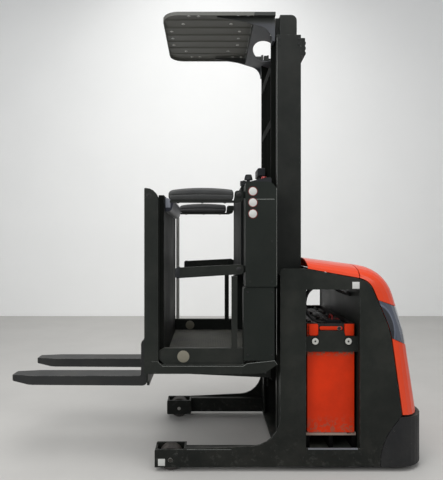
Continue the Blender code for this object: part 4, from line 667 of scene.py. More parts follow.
def add_ring(form, profile, centre, axis=(0, 0, 1), steps=32):
    """A hoop: its section's pairs of radius and distance close on themselves."""
    along, side, up = basis(axis)
    rings = [ring_of(form, Vector(centre) + along * far, side, up, radius, steps) for radius, far in profile]
    join_rings(form, rings, closed=True)


def add_block(form, x, y, z, bevel=0.0, segments=2):
    """A box between low and high values, with rounded edges."""
    made = bmesh.ops.create_cube(form, size=1.0)["verts"]
    low, high = (Vector(corner) for corner in zip(x, y, z))
    bmesh.ops.scale(form, vec=high - low, verts=made)
    bmesh.ops.translate(form, vec=(low + high) / 2, verts=made)
    if bevel:
        edges = list({edge for vert in made for edge in vert.link_edges})
        bmesh.ops.bevel(form, geom=edges, offset=bevel, segments=segments, affect="EDGES", profile=0.5)


FLAT = {
    "X": lambda a, b, level: (level, a, b),
    "Y": lambda a, b, level: (a, level, b),
    "Z": lambda a, b, level: (a, b, level),
}


def add_plate(form, outline, axis, span, bevel=0.0):
    """A flat outline made thick along an axis, its rims rounded."""
    rings = [[form.verts.new(FLAT[axis](a, b, level)) for a, b in outline] for level in span]
    join_rings(form, rings)
    if bevel:
        rims = [form.edges.get((ring[k - 1], ring[k])) for ring in rings for k in range(len(ring))]
        bmesh.ops.bevel(form, geom=rims, offset=bevel, segments=2, affect="EDGES", profile=0.5)


def add_swept(form, points, section, up=(0, 0, 1)):
    """A section carried along a line of points. The section takes the share of the way, and gives pairs."""
    rings = []
    last = len(points) - 1
    for k, point in enumerate(points):
        before, after = Vector(points[max(k - 1, 0)]), Vector(points[min(k + 1, last)])
        along = (after - before).normalized()
        side = along.cross(Vector(up)).normalized()
        top = side.cross(along)
        rings.append([form.verts.new(Vector(point) + side * a + top * b) for a, b in section(k / last)])
    join_rings(form, rings)


def around(count, radius, first=0.0):
    """Places round a circle, as pairs from its middle. A first of 0.5 starts half a step on."""
    angles = [2 * math.pi * (k + first) / count for k in range(count)]
    return [(radius * math.cos(angle), radius * math.sin(angle)) for angle in angles]


def add_hose(form, points, radius, steps=12, up=(0, 0, 1)):
    """A round body along a line of points."""
    add_swept(form, points, lambda share: around(steps, radius), up)


def add_bolt(form, centre, axis, across, height=None, washer=True):
    """A hexagon head with a chamfer on a round washer; across is the width over the flats."""
    height = height or across * 0.62
    radius = across / math.sqrt(3)
    base = across * 0.12 if washer else 0.0
    if washer:
        add_turned(form, ((across * 0.92, 0.0), (across * 0.92, base * 0.7), (across * 0.86, base)), centre,
                   axis, 24)
    head = ((radius, base), (radius, base + height * 0.82), (radius * 0.86, base + height))
    add_turned(form, head, centre, axis, 6)
    add_turned(form, ((radius * 0.5, base + height), (radius * 0.46, base + height * 1.12)), centre, axis,
               18)


def add_socket_screw(form, centre, axis, radius, height):
    """A round head with a recess for a key."""
    profile = (
        (radius, 0.0), (radius, height * 0.72), (radius * 0.90, height), (radius * 0.52, height),
        (radius * 0.50, height * 0.45), (radius * 0.08, height * 0.40),
    )
    add_turned(form, profile, centre, axis, 20)


def add_bead(form, start, end, radius, up=(0, 0, 1), pitch=0.0035):
    """A weld bead: a low ridge with overlapping ripples."""
    start, end = Vector(start), Vector(end)
    count = max(8, int((end - start).length / pitch))
    points = [start.lerp(end, k / count) for k in range(count + 1)]

    def section(share):
        swell = radius * (0.88 + 0.16 * math.sin(share * count * math.pi) ** 2)
        return around(7, swell)

    add_swept(form, points, section, up)


def smooth_line(places, per_span=8):
    """Points on a smooth curve through the given places."""
    ends = [Vector(places[0]) * 2 - Vector(places[1])]
    ends += [Vector(place) for place in places]
    ends.append(Vector(places[-1]) * 2 - Vector(places[-2]))
    line = []
    for a, b, c, d in zip(ends, ends[1:], ends[2:], ends[3:]):
        for k in range(per_span):
            t = k / per_span
            square = (a * 2 - b * 5 + c * 4 - d) * t**2
            cube = (b * 3 - a - c * 3 + d) * t**3
            line.append((b * 2 + (c - a) * t + square + cube) / 2)
    line.append(ends[-2])
    return line


def made(name, form, body, finish, slot, smooth=35.0):
    """A piece from a form, in its finish, riding on a body."""
    bmesh.ops.recalc_face_normals(form, faces=form.faces)
    mesh = bpy.data.meshes.new(name)
    form.to_mesh(mesh)
    form.free()
    mesh.shade_smooth()
    mesh.set_sharp_from_angle(angle=math.radians(smooth))
    mesh.materials.append(FINISH[finish])
    piece = bpy.data.objects.new(name, mesh)
    bpy.context.scene.collection.objects.link(piece)
    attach(piece, body)
    return piece


# Armrests: moulded cushions with a groove along each flank, in place of the plain pads
PAD_FRONT, PAD_BACK = -0.2555, 0.1205
PAD_BOTTOM = 1.5862


def pad_top(x):
    """The crown of the cushion: an arch that droops at its free end."""
    reach = (x + 0.060) / 0.200
    return 1.6588 - 0.0150 * reach**2 - 0.010 * max(0.0, -reach - 0.55) ** 2


# Half the cushion's outline from its base to its crown, as shares of half its width and of its height
PAD_HALF = (
    (0.60, -0.50), (0.86, -0.47), (0.96, -0.36), (1.00, -0.20), (0.99, -0.10), (0.90, -0.055), (0.90, -0.030),
    (0.99, 0.010), (1.00, 0.110), (0.97, 0.230), (0.88, 0.350), (0.72, 0.430), (0.50, 0.475), (0.25, 0.495),
)


def pad_section(share):
    """Pairs round the cushion: flat base, swelling flank, groove, and a crowned top."""
    x = PAD_FRONT + (PAD_BACK - PAD_FRONT) * share
    near_end = min((x - PAD_FRONT) / 0.030, (PAD_BACK - x) / 0.012, 1.0)
    full = math.sqrt(max(0.0, 1 - (1 - near_end) ** 2)) * 0.86 + 0.14
    height = (pad_top(x) - PAD_BOTTOM) * (0.30 + 0.70 * full)
    middle = (pad_top(x) + PAD_BOTTOM) / 2 - 1.62
    half = 0.0238 * (0.55 + 0.45 * full)
    outline = [(half * out, middle + height * up) for out, up in PAD_HALF]
    return outline + [(-a, b) for a, b in reversed(outline)]


def armrests():
    """Both cushions, each with one level of smoothing, standing for the plain pads."""
    for label, side in SIDES:
        form = bmesh.new()
        points = [(PAD_FRONT + (PAD_BACK - PAD_FRONT) * (k / 56), side * PAD_Y, 1.62) for k in range(57)]
        add_swept(form, points, pad_section)
        cushion = made(f"armrest_cushion_{label}", form, f"gate_{label}", "armrest skin", "arm_grey", 70.0)
        smoother = cushion.modifiers.new("smooth", "SUBSURF")
        smoother.levels = 1
        smoother.render_levels = 1
        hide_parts(f"armrest_pad_{label}")


# How far the seam lies from the cushion's middle, and where both bars of a gate turn
SEAM_OUT = 0.0221
GATE_PIVOT_X = 0.150


def armrest_seams():
    """The dark seam in each cushion's groove, and the screws and bolts of its rail."""
    for label, side in SIDES:
        form = bmesh.new()
        for flank in (-1, 1):
            line = []
            for k in range(60):
                x = PAD_FRONT + 0.016 + (PAD_BACK - PAD_FRONT - 0.026) * k / 59
                height = pad_top(x) - PAD_BOTTOM
                z = (pad_top(x) + PAD_BOTTOM) / 2 - 0.042 * height
                line.append((x, side * PAD_Y + flank * SEAM_OUT, z))
            add_hose(form, line, 0.0011, 6)
        made(f"armrest_seam_{label}", form, f"gate_{label}", "fixing black", "arm_grey")
        form = bmesh.new()
        for x in (-0.200, -0.060, 0.070):
            add_socket_screw(form, (x, side * PAD_Y, 1.5728), (0, 0, -1), 0.0065, 0.0035)
        for flank in (-1, 1):
            add_bolt(form, (GATE_PIVOT_X, side * PAD_Y + flank * 0.0161, 1.620), (0, flank, 0), 0.017, 0.006)
        made(f"armrest_fixings_{label}", form, f"gate_{label}", "fixing black", "black_plastic")


def gate_bar_ends():
    """A rubber cap on each lower bar's free end, and the pivot bolts."""
    for label, side in SIDES:
        form = bmesh.new()
        cap = [(-0.2155, 1.1440), (-0.2155, 1.1930), (-0.206, 1.2010), (-0.188, 1.2022), (-0.188, 1.1385),
               (-0.206, 1.1365)]
        add_plate(form, cap, "Y", (side * BAR_Y - 0.0135, side * BAR_Y + 0.0135), 0.002)
        made(f"gate_bar_cap_{label}", form, f"gate_link_{label}", "black moulding", "black_plastic")
        form = bmesh.new()
        for flank in (-1, 1):
            add_bolt(form, (GATE_PIVOT_X, side * BAR_Y + flank * 0.0122, 1.190), (0, flank, 0), 0.016, 0.005)
        made(f"gate_bar_bolts_{label}", form, f"gate_link_{label}", "fixing black", "cast_iron")


# Signs and labels, all blank: where they stand and the square labels' corners as ranges of x and z
SIGN_X = 0.2290
SIGN_HEIGHTS = (1.636, 1.572, 1.508)
SIGN_FACE = ((0.0235, 0.0), (0.0235, 0.0003), (0.0232, 0.0004), (0.002, 0.0004))
SIGN_RIM = ((0.0231, 0.0), (0.0231, 0.0005), (0.0268, 0.0005), (0.0272, 0.0))
SILL_DISC = ((0.0345, 0.0), (0.0345, 0.0005), (0.0338, 0.0008), (0.002, 0.0008))
SILL_DISC_PLACES = ((-0.169, -0.5349, 0.6885), (-0.169, 0.5051, 0.6885))
LABELS = (((-0.320, -0.279), (0.036, 0.077)), ((0.818, 0.860), (1.073, 1.113)))


def signs():
    """Three ringed discs on the console, a disc on each sill and two square labels on the side frame."""
    form = bmesh.new()
    rims = bmesh.new()
    for z in SIGN_HEIGHTS:
        place = (SIGN_X, CAB_FACE + 0.0002, z)
        add_turned(form, SIGN_FACE, place, (0, -1, 0), 40)
        add_ring(rims, SIGN_RIM, place, (0, -1, 0), 40)
    made("console_signs", form, "cab", "label white", "tray_grey")
    made("console_sign_rims", rims, "cab", "sign red", "stop_red")
    form = bmesh.new()
    for place in SILL_DISC_PLACES:
        add_turned(form, SILL_DISC, place, (0, -1, 0), 48)
    made("sill_discs", form, "cab", "label worn", "tray_grey")
    form = bmesh.new()
    for x, z in LABELS:
        corners = [(x[0], z[0]), (x[0], z[1]), (x[1], z[1]), (x[1], z[0])]
        add_plate(form, corners, "Y", (FRAME_FACE - 0.0007, FRAME_FACE + 0.0002), 0.0002)
    made("frame_labels", form, "chassis", "label white", "tray_grey")


# The posts' head bolt (x, z) and the heights of the screws down their inner flange
POST_BOLT = (-0.366, 1.611)
POST_SCREW_HEIGHTS = (0.720, 0.960, 1.200, 1.440)
POST_WASHER = ((0.0125, 0.0), (0.0125, 0.0006), (0.0165, 0.0006), (0.0170, 0.0))


def post_bolts():
    """The bolt at the head of each post and the screws down its inner flange."""
    form = bmesh.new()
    for _, side in SIDES:
        add_ring(form, POST_WASHER, (POST_BOLT[0], side * 0.5506, POST_BOLT[1]), (0, side, 0), 28)
        add_socket_screw(form, (POST_BOLT[0], side * 0.5490, POST_BOLT[1]), (0, side, 0), 0.0115, 0.0023)
        for z in POST_SCREW_HEIGHTS:
            add_socket_screw(form, (-0.3018, side * 0.470, z), (1, 0, 0), 0.0060, 0.0030)
    made("post_bolts", form, "cab", "fixing black", "cast_iron")


# The ledge in side view (x, z)
LEDGE = ((0.250, 1.5890), (0.352, 1.5890), (0.352, 1.5925), (0.250, 1.5925))


def console_ledges():
    """The bright ledge at the joint of each console side's covers, a rubbed edge with a painted highlight."""
    form = bmesh.new()
    for _, side in SIDES:
        add_plate(form, LEDGE, "Y", sorted((side * 0.5500, side * 0.5513)), 0.0004)
    made("console_ledges", form, "cab", "rubbed and lit edge", "console_paint")


# The display (y, z), the ranges of x and z of the frame round it, and the frame's outer half
DISPLAY = ((-0.080, 1.798), (-0.080, 1.838), (0.080, 1.838), (0.080, 1.798))
DISPLAY_FRAME_X = (0.3085, 0.3125)
DISPLAY_FRAME_Z = (1.7925, 1.8435)
DISPLAY_FRAME_HALF = 0.086
# Two rows of buttons on the panel's slope, and the key switch (x, y) on its top
BUTTON_ROWS = (0.232, 0.262)
BUTTON_AXIS = (-0.233, 0, 0.972)
BUTTON = ((0.0110, 0.0), (0.0110, 0.0040), (0.0098, 0.0055), (0.0085, 0.0058), (0.0070, 0.0050),
          (0.001, 0.0049))
BUTTON_COLLAR = ((0.0114, 0.0), (0.0114, 0.0026), (0.0136, 0.0022), (0.0140, 0.0))
KEY = (0.290, 0.120)
PANEL_TOP = 1.7405
KEY_COLLAR = ((0.0080, 0.0), (0.0080, 0.008), (0.0125, 0.007), (0.0130, 0.0))
KEY_BARREL = ((0.0078, 0.0), (0.0078, 0.0065), (0.0060, 0.0075))
KEY_STEM = ((0.0055, 0.0), (0.0055, 0.010))


def button_places():
    """Five buttons in each row, on the panel's slope."""
    return [(x, -0.120 + 0.036 * k, 1.718 + 0.24 * (x - 0.205)) for x in BUTTON_ROWS for k in range(5)]


def control_panel_parts():
    """The display's glass and frame, the buttons with their collars, and the key switch."""
    form = bmesh.new()
    add_plate(form, DISPLAY, "X", (0.3095, 0.3119), 0.0008)
    made("display_glass", form, "cab", "black moulding", "gloss_black")
    form = bmesh.new()
    for span in ((DISPLAY_FRAME_Z[0], 1.797), (1.839, DISPLAY_FRAME_Z[1])):
        add_block(form, DISPLAY_FRAME_X, (-DISPLAY_FRAME_HALF, DISPLAY_FRAME_HALF), span, 0.001)
    for y in (-0.0845, 0.0805):
        add_block(form, DISPLAY_FRAME_X, (y, y + 0.004), DISPLAY_FRAME_Z, 0.001)
    for k in range(9):
        add_block(form, (0.3205, 0.3455), (-0.070 + 0.017 * k, -0.062 + 0.017 * k), (1.8440, 1.8462), 0.0006)
    made("display_frame", form, "cab", "black moulding", "black_plastic")
    form = bmesh.new()
    for place in button_places():
        add_turned(form, BUTTON, place, BUTTON_AXIS, 24)
    made("panel_buttons", form, "cab", "tray moulding", "tray_grey")
    form = bmesh.new()
    for place in button_places():
        add_ring(form, BUTTON_COLLAR, place, BUTTON_AXIS, 28)
    add_ring(form, KEY_COLLAR, (*KEY, PANEL_TOP), (0, 0, 1), 28)
    made("button_collars", form, "cab", "fixing black", "cast_iron")
    form = bmesh.new()
    add_turned(form, KEY_BARREL, (*KEY, PANEL_TOP), (0, 0, 1), 20)
    add_block(form, (0.2785, 0.3015), (0.1188, 0.1212), (1.7470, 1.7700), 0.0008)
    add_turned(form, KEY_STEM, (*KEY, PANEL_TOP + 0.0035), (0, 0, 1), 16)
    made("key_switch", form, "cab", "fixing zinc", "bright_steel")


# Where the drive knob and the lever stand on the panel (x, y), and the stop button's collar
KNOB = (0.226, -0.300)
LEVER = (0.240, 0.250)
STOP_COLLAR = ((0.0205, 0.0), (0.0205, 0.0035), (0.0285, 0.0030), (0.0290, 0.0))


def drive_knob():
    """The ribs of the drive knob, the lever's boot and grip ribs, and the collar of the stop button."""
    form = bmesh.new()
    for x, y in around(18, 1.0):
        reach = Vector((x, y, 0))
        foot = Vector((*KNOB, 1.7385)) + reach * 0.0252
        head = Vector((*KNOB, 1.7640)) + reach * 0.0185
        add_hose(form, [foot.lerp(head, step / 4) for step in range(5)], 0.0016, 7, up=reach)
    made("knob_ribs", form, "cab", "fixing black", "black_plastic")
    form = bmesh.new()
    profile = [(0.0300, 0.0)]
    for k in range(6):
        radius = 0.0285 - 0.0024 * k
        profile += [(radius, 0.004 + 0.006 * k), (radius - 0.0045, 0.007 + 0.006 * k)]
    profile.append((0.0125, 0.041))
    add_turned(form, profile, (*LEVER, 1.7280), (0, 0, 1), 32)
    made("lever_boot", form, "cab", "skirt rubber", "black_plastic")
    form = bmesh.new()
    for k in range(5):
        z = 1.7680 + 0.0075 * k
        add_block(form, (LEVER[0] - 0.0265, LEVER[0] + 0.0265), (LEVER[1] - 0.0265, LEVER[1] + 0.0265),
                  (z, z + 0.0022), 0.0008)
    add_turned(form, ((0.0080, 0.0), (0.0080, 0.004), (0.0070, 0.0052)), (*LEVER, 1.8020), (0, 0, 1), 24)
    made("lever_grip_ribs", form, "cab", "armrest skin", "black_plastic")
    form = bmesh.new()
    add_ring(form, STOP_COLLAR, (STOP.x, STOP.y, 1.7424), (0, 0, 1), 36)
    made("stop_collar", form, "cab", "label white", "tray_grey")


# The screen's middle plane and its wires' radius
SCREEN_X = 0.3905
WIRE_R = 0.0011
# Its lowest and highest wire, half its width, the spacing of its wires, and its frame's range of x
SCREEN_LOW, SCREEN_HIGH = 1.652, 2.486
SCREEN_HALF = 0.243
WIRE_STEP = 0.0135
SCREEN_FRAME_X = (0.3881, 0.3929)


def wire_screen():
    """The woven wire screen between the cab's uprights, behind the guard bars, with its frame."""
    form = bmesh.new()
    low, high, half = SCREEN_LOW, SCREEN_HIGH, SCREEN_HALF
    count = int(2 * half / WIRE_STEP)
    for k in range(count + 1):
        y = -half + 2 * half * k / count
        line = []
        for j in range(0, 47):
            z = low + (high - low) * j / 46
            line.append((SCREEN_X + 0.0010 * (-1) ** (j + k), y, z))
        add_swept(form, line, lambda share: around(5, WIRE_R), up=(0, 1, 0))
    rows = int((high - low) / WIRE_STEP)
    for j in range(rows + 1):
        z = low + (high - low) * j / rows
        line = [(SCREEN_X - 0.0010 * (-1) ** (j + k), -half + 2 * half * k / 26, z) for k in range(27)]
        add_swept(form, line, lambda share: around(5, WIRE_R))
    made("screen_wires", form, "cab", "fixing black", "cast_iron")
    form = bmesh.new()
    for z in (low, high - 0.012):
        add_block(form, SCREEN_FRAME_X, (-half, half), (z, z + 0.012), 0.001)
    for _, side in SIDES:
        span = sorted((side * half, side * (half - 0.010)))
        add_block(form, SCREEN_FRAME_X, span, (low, high), 0.001)
        for z in (1.75, 1.95, 2.15, 2.35):
            add_socket_screw(form, (SCREEN_FRAME_X[1], side * (half - 0.005), z), (1, 0, 0), 0.0045, 0.0025)
    made("screen_frame", form, "cab", "mast paint", "charcoal_paint")


# Turned sections as pairs of radius and height
HUB_RING = ((0.0135, 0.0), (0.0135, 0.0016), (0.0210, 0.0016), (0.0225, 0.0))
AXLE_CAP = ((0.0118, 0.0), (0.0118, 0.0006), (0.0104, 0.0014), (0.0030, 0.0014), (0.0012, 0.0006))
# The keeper plate beside each load axle (x, z)
AXLE_KEEPER = ((-0.2325, 0.094), (-0.2325, 0.104), (-0.2255, 0.110), (-0.2055, 0.110),
               (-0.2035, 0.105), (-0.2035, 0.094), (-0.2100, 0.088), (-0.2260, 0.088))


def load_wheel_parts():
    """Hub rings, and on the support arms the axle's caps and its keeper plates with their bolts."""
    for label, side in SIDES:
        form = bmesh.new()
        for face in (-1, 1):
            place = (LOAD_AXLE.x, side * LOAD_AXLE.y + face * 0.0398, LOAD_AXLE.z)
            add_ring(form, HUB_RING, place, (0, face, 0), 32)
        made(f"load_hub_rings_{label}", form, f"load_roller_{label}", "fixing zinc", "bright_steel")
        form = bmesh.new()
        add_turned(form, AXLE_CAP, (LOAD_AXLE.x, side * 0.4856, LOAD_AXLE.z), (0, side, 0), 28)
        made(f"load_axle_cap_{label}", form, "chassis", "oily iron", "bright_steel")
        form = bmesh.new()
        add_plate(form, AXLE_KEEPER, "Y", sorted((side * 0.4838, side * 0.4858)), 0.0005)
        add_bolt(form, (-0.218, side * 0.4857, 0.099), (0, side, 0), 0.009, 0.0026, washer=False)
        made(f"axle_keeper_{label}", form, "chassis", "leg paint", "charcoal_paint")


# The inner face of the side plates, and the weld beads of the far half, level and upright, later mirrored:
# start, end and radius of each
PLATE_INSIDE = 0.4725
LEVEL_WELDS = (
    ((-0.170, PLATE_INSIDE, 0.1315), (0.380, PLATE_INSIDE, 0.1315), 0.0028),
    ((-0.155, 0.4238, 0.1310), (0.500, 0.4238, 0.1310), 0.0018),
    ((0.560, PLATE_INSIDE, 0.1165), (0.865, PLATE_INSIDE, 0.1165), 0.0026),
    ((0.8815, 0.13, 0.4415), (0.8815, 0.455, 0.4415), 0.0028),
    ((0.398, 0.3605, 0.0565), (0.540, 0.3605, 0.0565), 0.0026),
)
UPRIGHT_WELDS = (
    ((0.4015, PLATE_INSIDE, 0.150), (0.4015, PLATE_INSIDE, 1.145), 0.0028),
    ((0.8665, PLATE_INSIDE, 0.130), (0.8665, PLATE_INSIDE, 0.680), 0.0026),
    ((0.8815, PLATE_INSIDE, 0.130), (0.8815, PLATE_INSIDE, 1.060), 0.0028),
    ((0.3955, 0.3615, 0.160), (0.3955, 0.3615, 1.140), 0.0018),
)


def frame_welds():
    """Weld beads where the arms' boxes, the mast feet and the cross panels join the side plates."""
    form = bmesh.new()
    for _, side in SIDES:
        for welds, up in ((LEVEL_WELDS, (0, 0, 1)), (UPRIGHT_WELDS, (1, 0, 0))):
            for (x, y, z), (end_x, end_y, end_z), radius in welds:
                add_bead(form, (x, side * y, z), (end_x, side * end_y, end_z), radius, up=up)
    made("frame_welds", form, "chassis", "charcoal paint", "charcoal_paint")


# The lift barrels' clamp rings and the seal round each rod
CLAMP_HEIGHTS = (1.842, 1.200, 0.300)
CLAMP = ((0.0262, 0.0), (0.0262, 0.018), (0.0300, 0.0165), (0.0300, 0.0015))
BARREL_SEAL = ((0.0185, 0.0), (0.0185, 0.012), (0.0222, 0.0112), (0.0245, 0.004), (0.0258, 0.0))


def barrel_collars():
    """Clamp rings round the lift barrels, and a seal where each rod leaves its barrel."""
    form = bmesh.new()
    for _, side in SIDES:
        for z in CLAMP_HEIGHTS:
            add_ring(form, CLAMP, (BARREL.x, side * BARREL.y, z), (0, 0, 1), 32)
        add_ring(form, BARREL_SEAL, (BARREL.x, side * BARREL.y, BARREL_TOP + 0.0002), (0, 0, 1), 32)
    made("barrel_collars", form, "chassis", "fixing zinc", "bright_steel")


# The plate's top edge under the hood, the seal's section, and the lip along the window's foot (x, z)
SEAL_LINE = ((0.5290, 1.1903), (0.560, 1.1862), (0.640, 1.1708), (0.740, 1.1520), (0.820, 1.1370),
             (0.860, 1.1290))
SEAL_SECTION = ((-0.0035, -0.002), (0.0035, -0.002), (0.0030, 0.0026), (0.0, 0.0036), (-0.0030, 0.0026))
WINDOW_LIP = ((0.5585, 0.1305), (0.8505, 0.1305), (0.8505, 0.1372), (0.5585, 0.1372))


def plate_trim():
    """The rubber seal that the hood closes on, and the worn lip along the foot of each battery window,
    painted light grey as a highlight on its top face.
    """
    form = bmesh.new()
    for _, side in SIDES:
        line = [(x, side * 0.4775, z - 0.0012) for x, z in SEAL_LINE]
        add_swept(form, line, lambda share: SEAL_SECTION)
    made("hood_seal", form, "chassis", "black moulding", "black_plastic")
    form = bmesh.new()
    # painted highlight: the lip's light grey stands for light on its top face
    for _, side in SIDES:
        add_plate(form, WINDOW_LIP, "Y", sorted((side * PLATE_INSIDE, side * 0.4844)), 0.0006)
    made("window_lips", form, "chassis", "lit lip grey", "bright_steel")


# The battery's tray and the size of one cell, four across and three along
TRAY_X = (0.573, 0.844)
TRAY_HALF = 0.413
TRAY_FLOOR = 0.8322
CELL_LONG = (TRAY_X[1] - TRAY_X[0]) / 3
CELL_WIDE = 2 * TRAY_HALF / 4
CELL_TOP = 0.8370
CELL_CAP = ((0.0150, 0.0), (0.0150, 0.0035), (0.0128, 0.0050), (0.0120, 0.0095), (0.0100, 0.0105),
            (0.002, 0.0105))
POST_FOOT = ((0.0120, 0.0), (0.0120, 0.0060), (0.0105, 0.0070))
POST_OUT = 0.068
STRAP = ((-0.009, -0.002), (0.009, -0.002), (0.009, 0.002), (-0.009, 0.002))
# Where the battery's plug leaves no room for a cap or a strap
PLUG = middle_of("battery_connector")
PLUG_REACH = 0.055


def battery_cells():
    """Twelve cell tops with filler caps, joined by insulated straps with a bolt on each post."""
    tops = bmesh.new()
    caps = bmesh.new()
    straps = bmesh.new()
    posts = bmesh.new()
    rows = [TRAY_X[0] + CELL_LONG * (column + 0.5) for column in range(3)]
    for x in rows:
        beside_plug = abs(x - PLUG.x) < PLUG_REACH
        for row in range(4):
            y = -TRAY_HALF + CELL_WIDE * (row + 0.5)
            across = (x - CELL_LONG / 2 + 0.001, x + CELL_LONG / 2 - 0.001)
            along = (y - CELL_WIDE / 2 + 0.001, y + CELL_WIDE / 2 - 0.001)
            add_block(tops, across, along, (TRAY_FLOOR, 0.8375), 0.002)
            if beside_plug and abs(y - PLUG.y) < 0.06:
                continue
            add_turned(caps, CELL_CAP, (x, y, CELL_TOP), (0, 0, 1), 24)
            add_block(caps, (x - 0.0095, x + 0.0095), (y - 0.0018, y + 0.0018), (0.8470, 0.8498), 0.0006)
            for end in (-1, 1):
                add_turned(posts, POST_FOOT, (x, y + end * POST_OUT, CELL_TOP), (0, 0, 1), 20)
                add_bolt(posts, (x, y + end * POST_OUT, 0.8438), (0, 0, 1), 0.013, 0.0045, washer=False)
    lines = []
    for x in rows:
        for row in range(3):
            y = -TRAY_HALF + CELL_WIDE * (row + 1)
            if abs(x - PLUG.x) < PLUG_REACH and y < -0.15:
                continue
            lines.append([(x, y - 0.040, 0.8405), (x, y - 0.028, 0.8440), (x, y, 0.8452),
                          (x, y + 0.028, 0.8440), (x, y + 0.040, 0.8405)])
    for y in (-0.3785, 0.3785):
        lines.append([(TRAY_X[0] + CELL_LONG * share, y, z)
                      for share, z in ((1.1, 0.8450), (1.5, 0.8475), (1.9, 0.8450))])
    for line in lines:
        add_swept(straps, smooth_line(line, 4), lambda share: STRAP)
    made("cell_tops", tops, "chassis", "black moulding", "black_plastic")
    made("cell_caps", caps, "chassis", "cap grey", "tray_grey")
    made("cell_straps", straps, "chassis", "cable sheath", "cable_black")
    made("cell_posts", posts, "chassis", "fixing zinc", "bright_steel")


# The tray's rim at a window: its face, the lugs' and the lifting bar's ranges of x and z, and the eye (x, z)
RIM_FACE = 0.4198
LUGS = ((0.5755, 0.6310), (0.7880, 0.8430))
LUG_HEIGHTS = (0.7885, 0.8575)
LIFT_BAR = ((0.6400, 0.7760), (0.8200, 0.8430))
# Painted shade: a dark sheet in the gap behind the lifting bar, and a dark disc filling the eye's hole
SHADOW = ((0.6310, 0.7860), (0.7880, 0.7860), (0.7880, 0.8575), (0.6310, 0.8575))
EYE = (0.7560, 0.8310)
EYE_SHADE_DISC = ((0.0100, 0.0), (0.0100, 0.0008), (0.0090, 0.0011))
EYE_RING = ((0.0098, 0.0), (0.0098, 0.0016), (0.0122, 0.0012), (0.0128, 0.0))


def battery_rims():
    """At each window: the tray's two corner lugs, the lifting bar between them, and its pierced eye, with
    painted shade as a dark sheet behind the bar and a dark disc in the eye.
    """
    lugs = bmesh.new()
    dark = bmesh.new()
    rings = bmesh.new()
    for _, side in SIDES:
        eye = (EYE[0], side * 0.4293, EYE[1])
        for x in LUGS:
            add_plate(lugs, rounded_box(x, LUG_HEIGHTS, 0.010), "Y",
                      sorted((side * RIM_FACE, side * 0.4335)), 0.0022)
        add_plate(lugs, rounded_box(*LIFT_BAR, 0.009), "Y", sorted((side * RIM_FACE, side * 0.4295)), 0.0030)
        add_plate(dark, SHADOW, "Y", sorted((side * RIM_FACE, side * 0.4204)))
        add_turned(dark, EYE_SHADE_DISC, eye, (0, side, 0), 24)
        add_ring(rings, EYE_RING, eye, (0, side, 0), 28)
    made("battery_lugs", lugs, "chassis", "battery coat", "battery_orange")
    made("battery_rim_shadow", dark, "chassis", "fixing black", "cast_iron")
    made("battery_eyes", rings, "chassis", "fixing zinc", "bright_steel")


def rounded_box(x, z, radius, steps=4):
    """An outline with round corners, from ranges of x and z."""
    outline = []
    for cx, cz, first in ((x[1], z[1], 0), (x[0], z[1], 1), (x[0], z[0], 2), (x[1], z[0], 3)):
        inward_x = -radius if cx == x[1] else radius
        inward_z = -radius if cz == z[1] else radius
        for k in range(steps + 1):
            angle = math.pi / 2 * (first + k / steps)
            outline.append((cx + inward_x + radius * math.cos(angle),
                            cz + inward_z + radius * math.sin(angle)))
    return outline


# The bosses of a battery lock (x, then their height), and the washer on each
LOCK_BOSSES = (0.6100, 0.8070)
BOSS_HEIGHT = 0.757
LOCK_WASHER = ((0.0196, 0.0), (0.0196, 0.0014), (0.0180, 0.0024), (0.0078, 0.0030), (0.0060, 0.0022),
               (0.0058, 0.0012))


def lock_bolts():
    """The bright washers on the battery locks' bosses, each with a keyed screw."""
    discs = bmesh.new()
    heads = bmesh.new()
    for _, side in SIDES:
        for x in LOCK_BOSSES:
            add_turned(discs, LOCK_WASHER, (x, side * 0.4458, BOSS_HEIGHT), (0, side, 0), 32)
            add_socket_screw(heads, (x, side * 0.4470, BOSS_HEIGHT), (0, side, 0), 0.0052, 0.0022)
    made("lock_washers", discs, "chassis", "washer zinc", "bright_steel")
    made("lock_screws", heads, "chassis", "fixing black", "cast_iron")


# Where the two cables pass the bulkhead and enter the plug, and their glands' sections
BULKHEAD_END = (0.8676, (-0.272, -0.238), 1.020)
PLUG_END = (0.7003, (-0.310, -0.276), 0.848)
BULKHEAD_GLAND = ((0.0082, 0.0), (0.0082, 0.010), (0.0118, 0.009), (0.0140, 0.004), (0.0140, 0.0))
PLUG_GLAND = ((0.0082, 0.0), (0.0082, 0.012), (0.0105, 0.011), (0.0118, 0.0))
# The plug's handle, from one foot to the other (y, z)
HANDLE = ((-0.325, 0.8675), (-0.322, 0.886), (-0.310, 0.892), (-0.276, 0.892), (-0.264, 0.886),
          (-0.261, 0.8675))


def cable_ends():
    """Glands at the bulkhead and the connector, and the connector's handle with its ribs."""
    form = bmesh.new()
    handle = bmesh.new()
    for (x, across, z), section in ((BULKHEAD_END, BULKHEAD_GLAND), (PLUG_END, PLUG_GLAND)):
        for y in across:
            add_ring(form, section, (x, y, z), (-1, 0, 0), 24)
    made("cable_glands", form, "chassis", "fixing black", "black_plastic")
    add_hose(handle, smooth_line([(0.742, y, z) for y, z in HANDLE], 5), 0.0048, 10, up=(1, 0, 0))
    for k in range(6):
        x = 0.7600 + 0.0052 * k
        add_block(handle, (x, x + 0.0026), (-0.326, -0.260), (0.8675, 0.8692), 0.0005)
    made("connector_handle", handle, "chassis", "cable red", "stop_red")


# The chain: its pulley's middle (x, z), the radius and the two runs it follows, and how its pins are made
PULLEY = (0.510, 2.580)
CHAIN_REACH = 0.0302
FRONT_RUN = (0.4798, 1.1085, 108)
REAR_RUN = (0.5402, 1.1338, 106)
CHAIN_PIN = ((0.0016, 0.0), (0.0019, 0.0004), (0.0019, 0.0112), (0.0016, 0.0116))


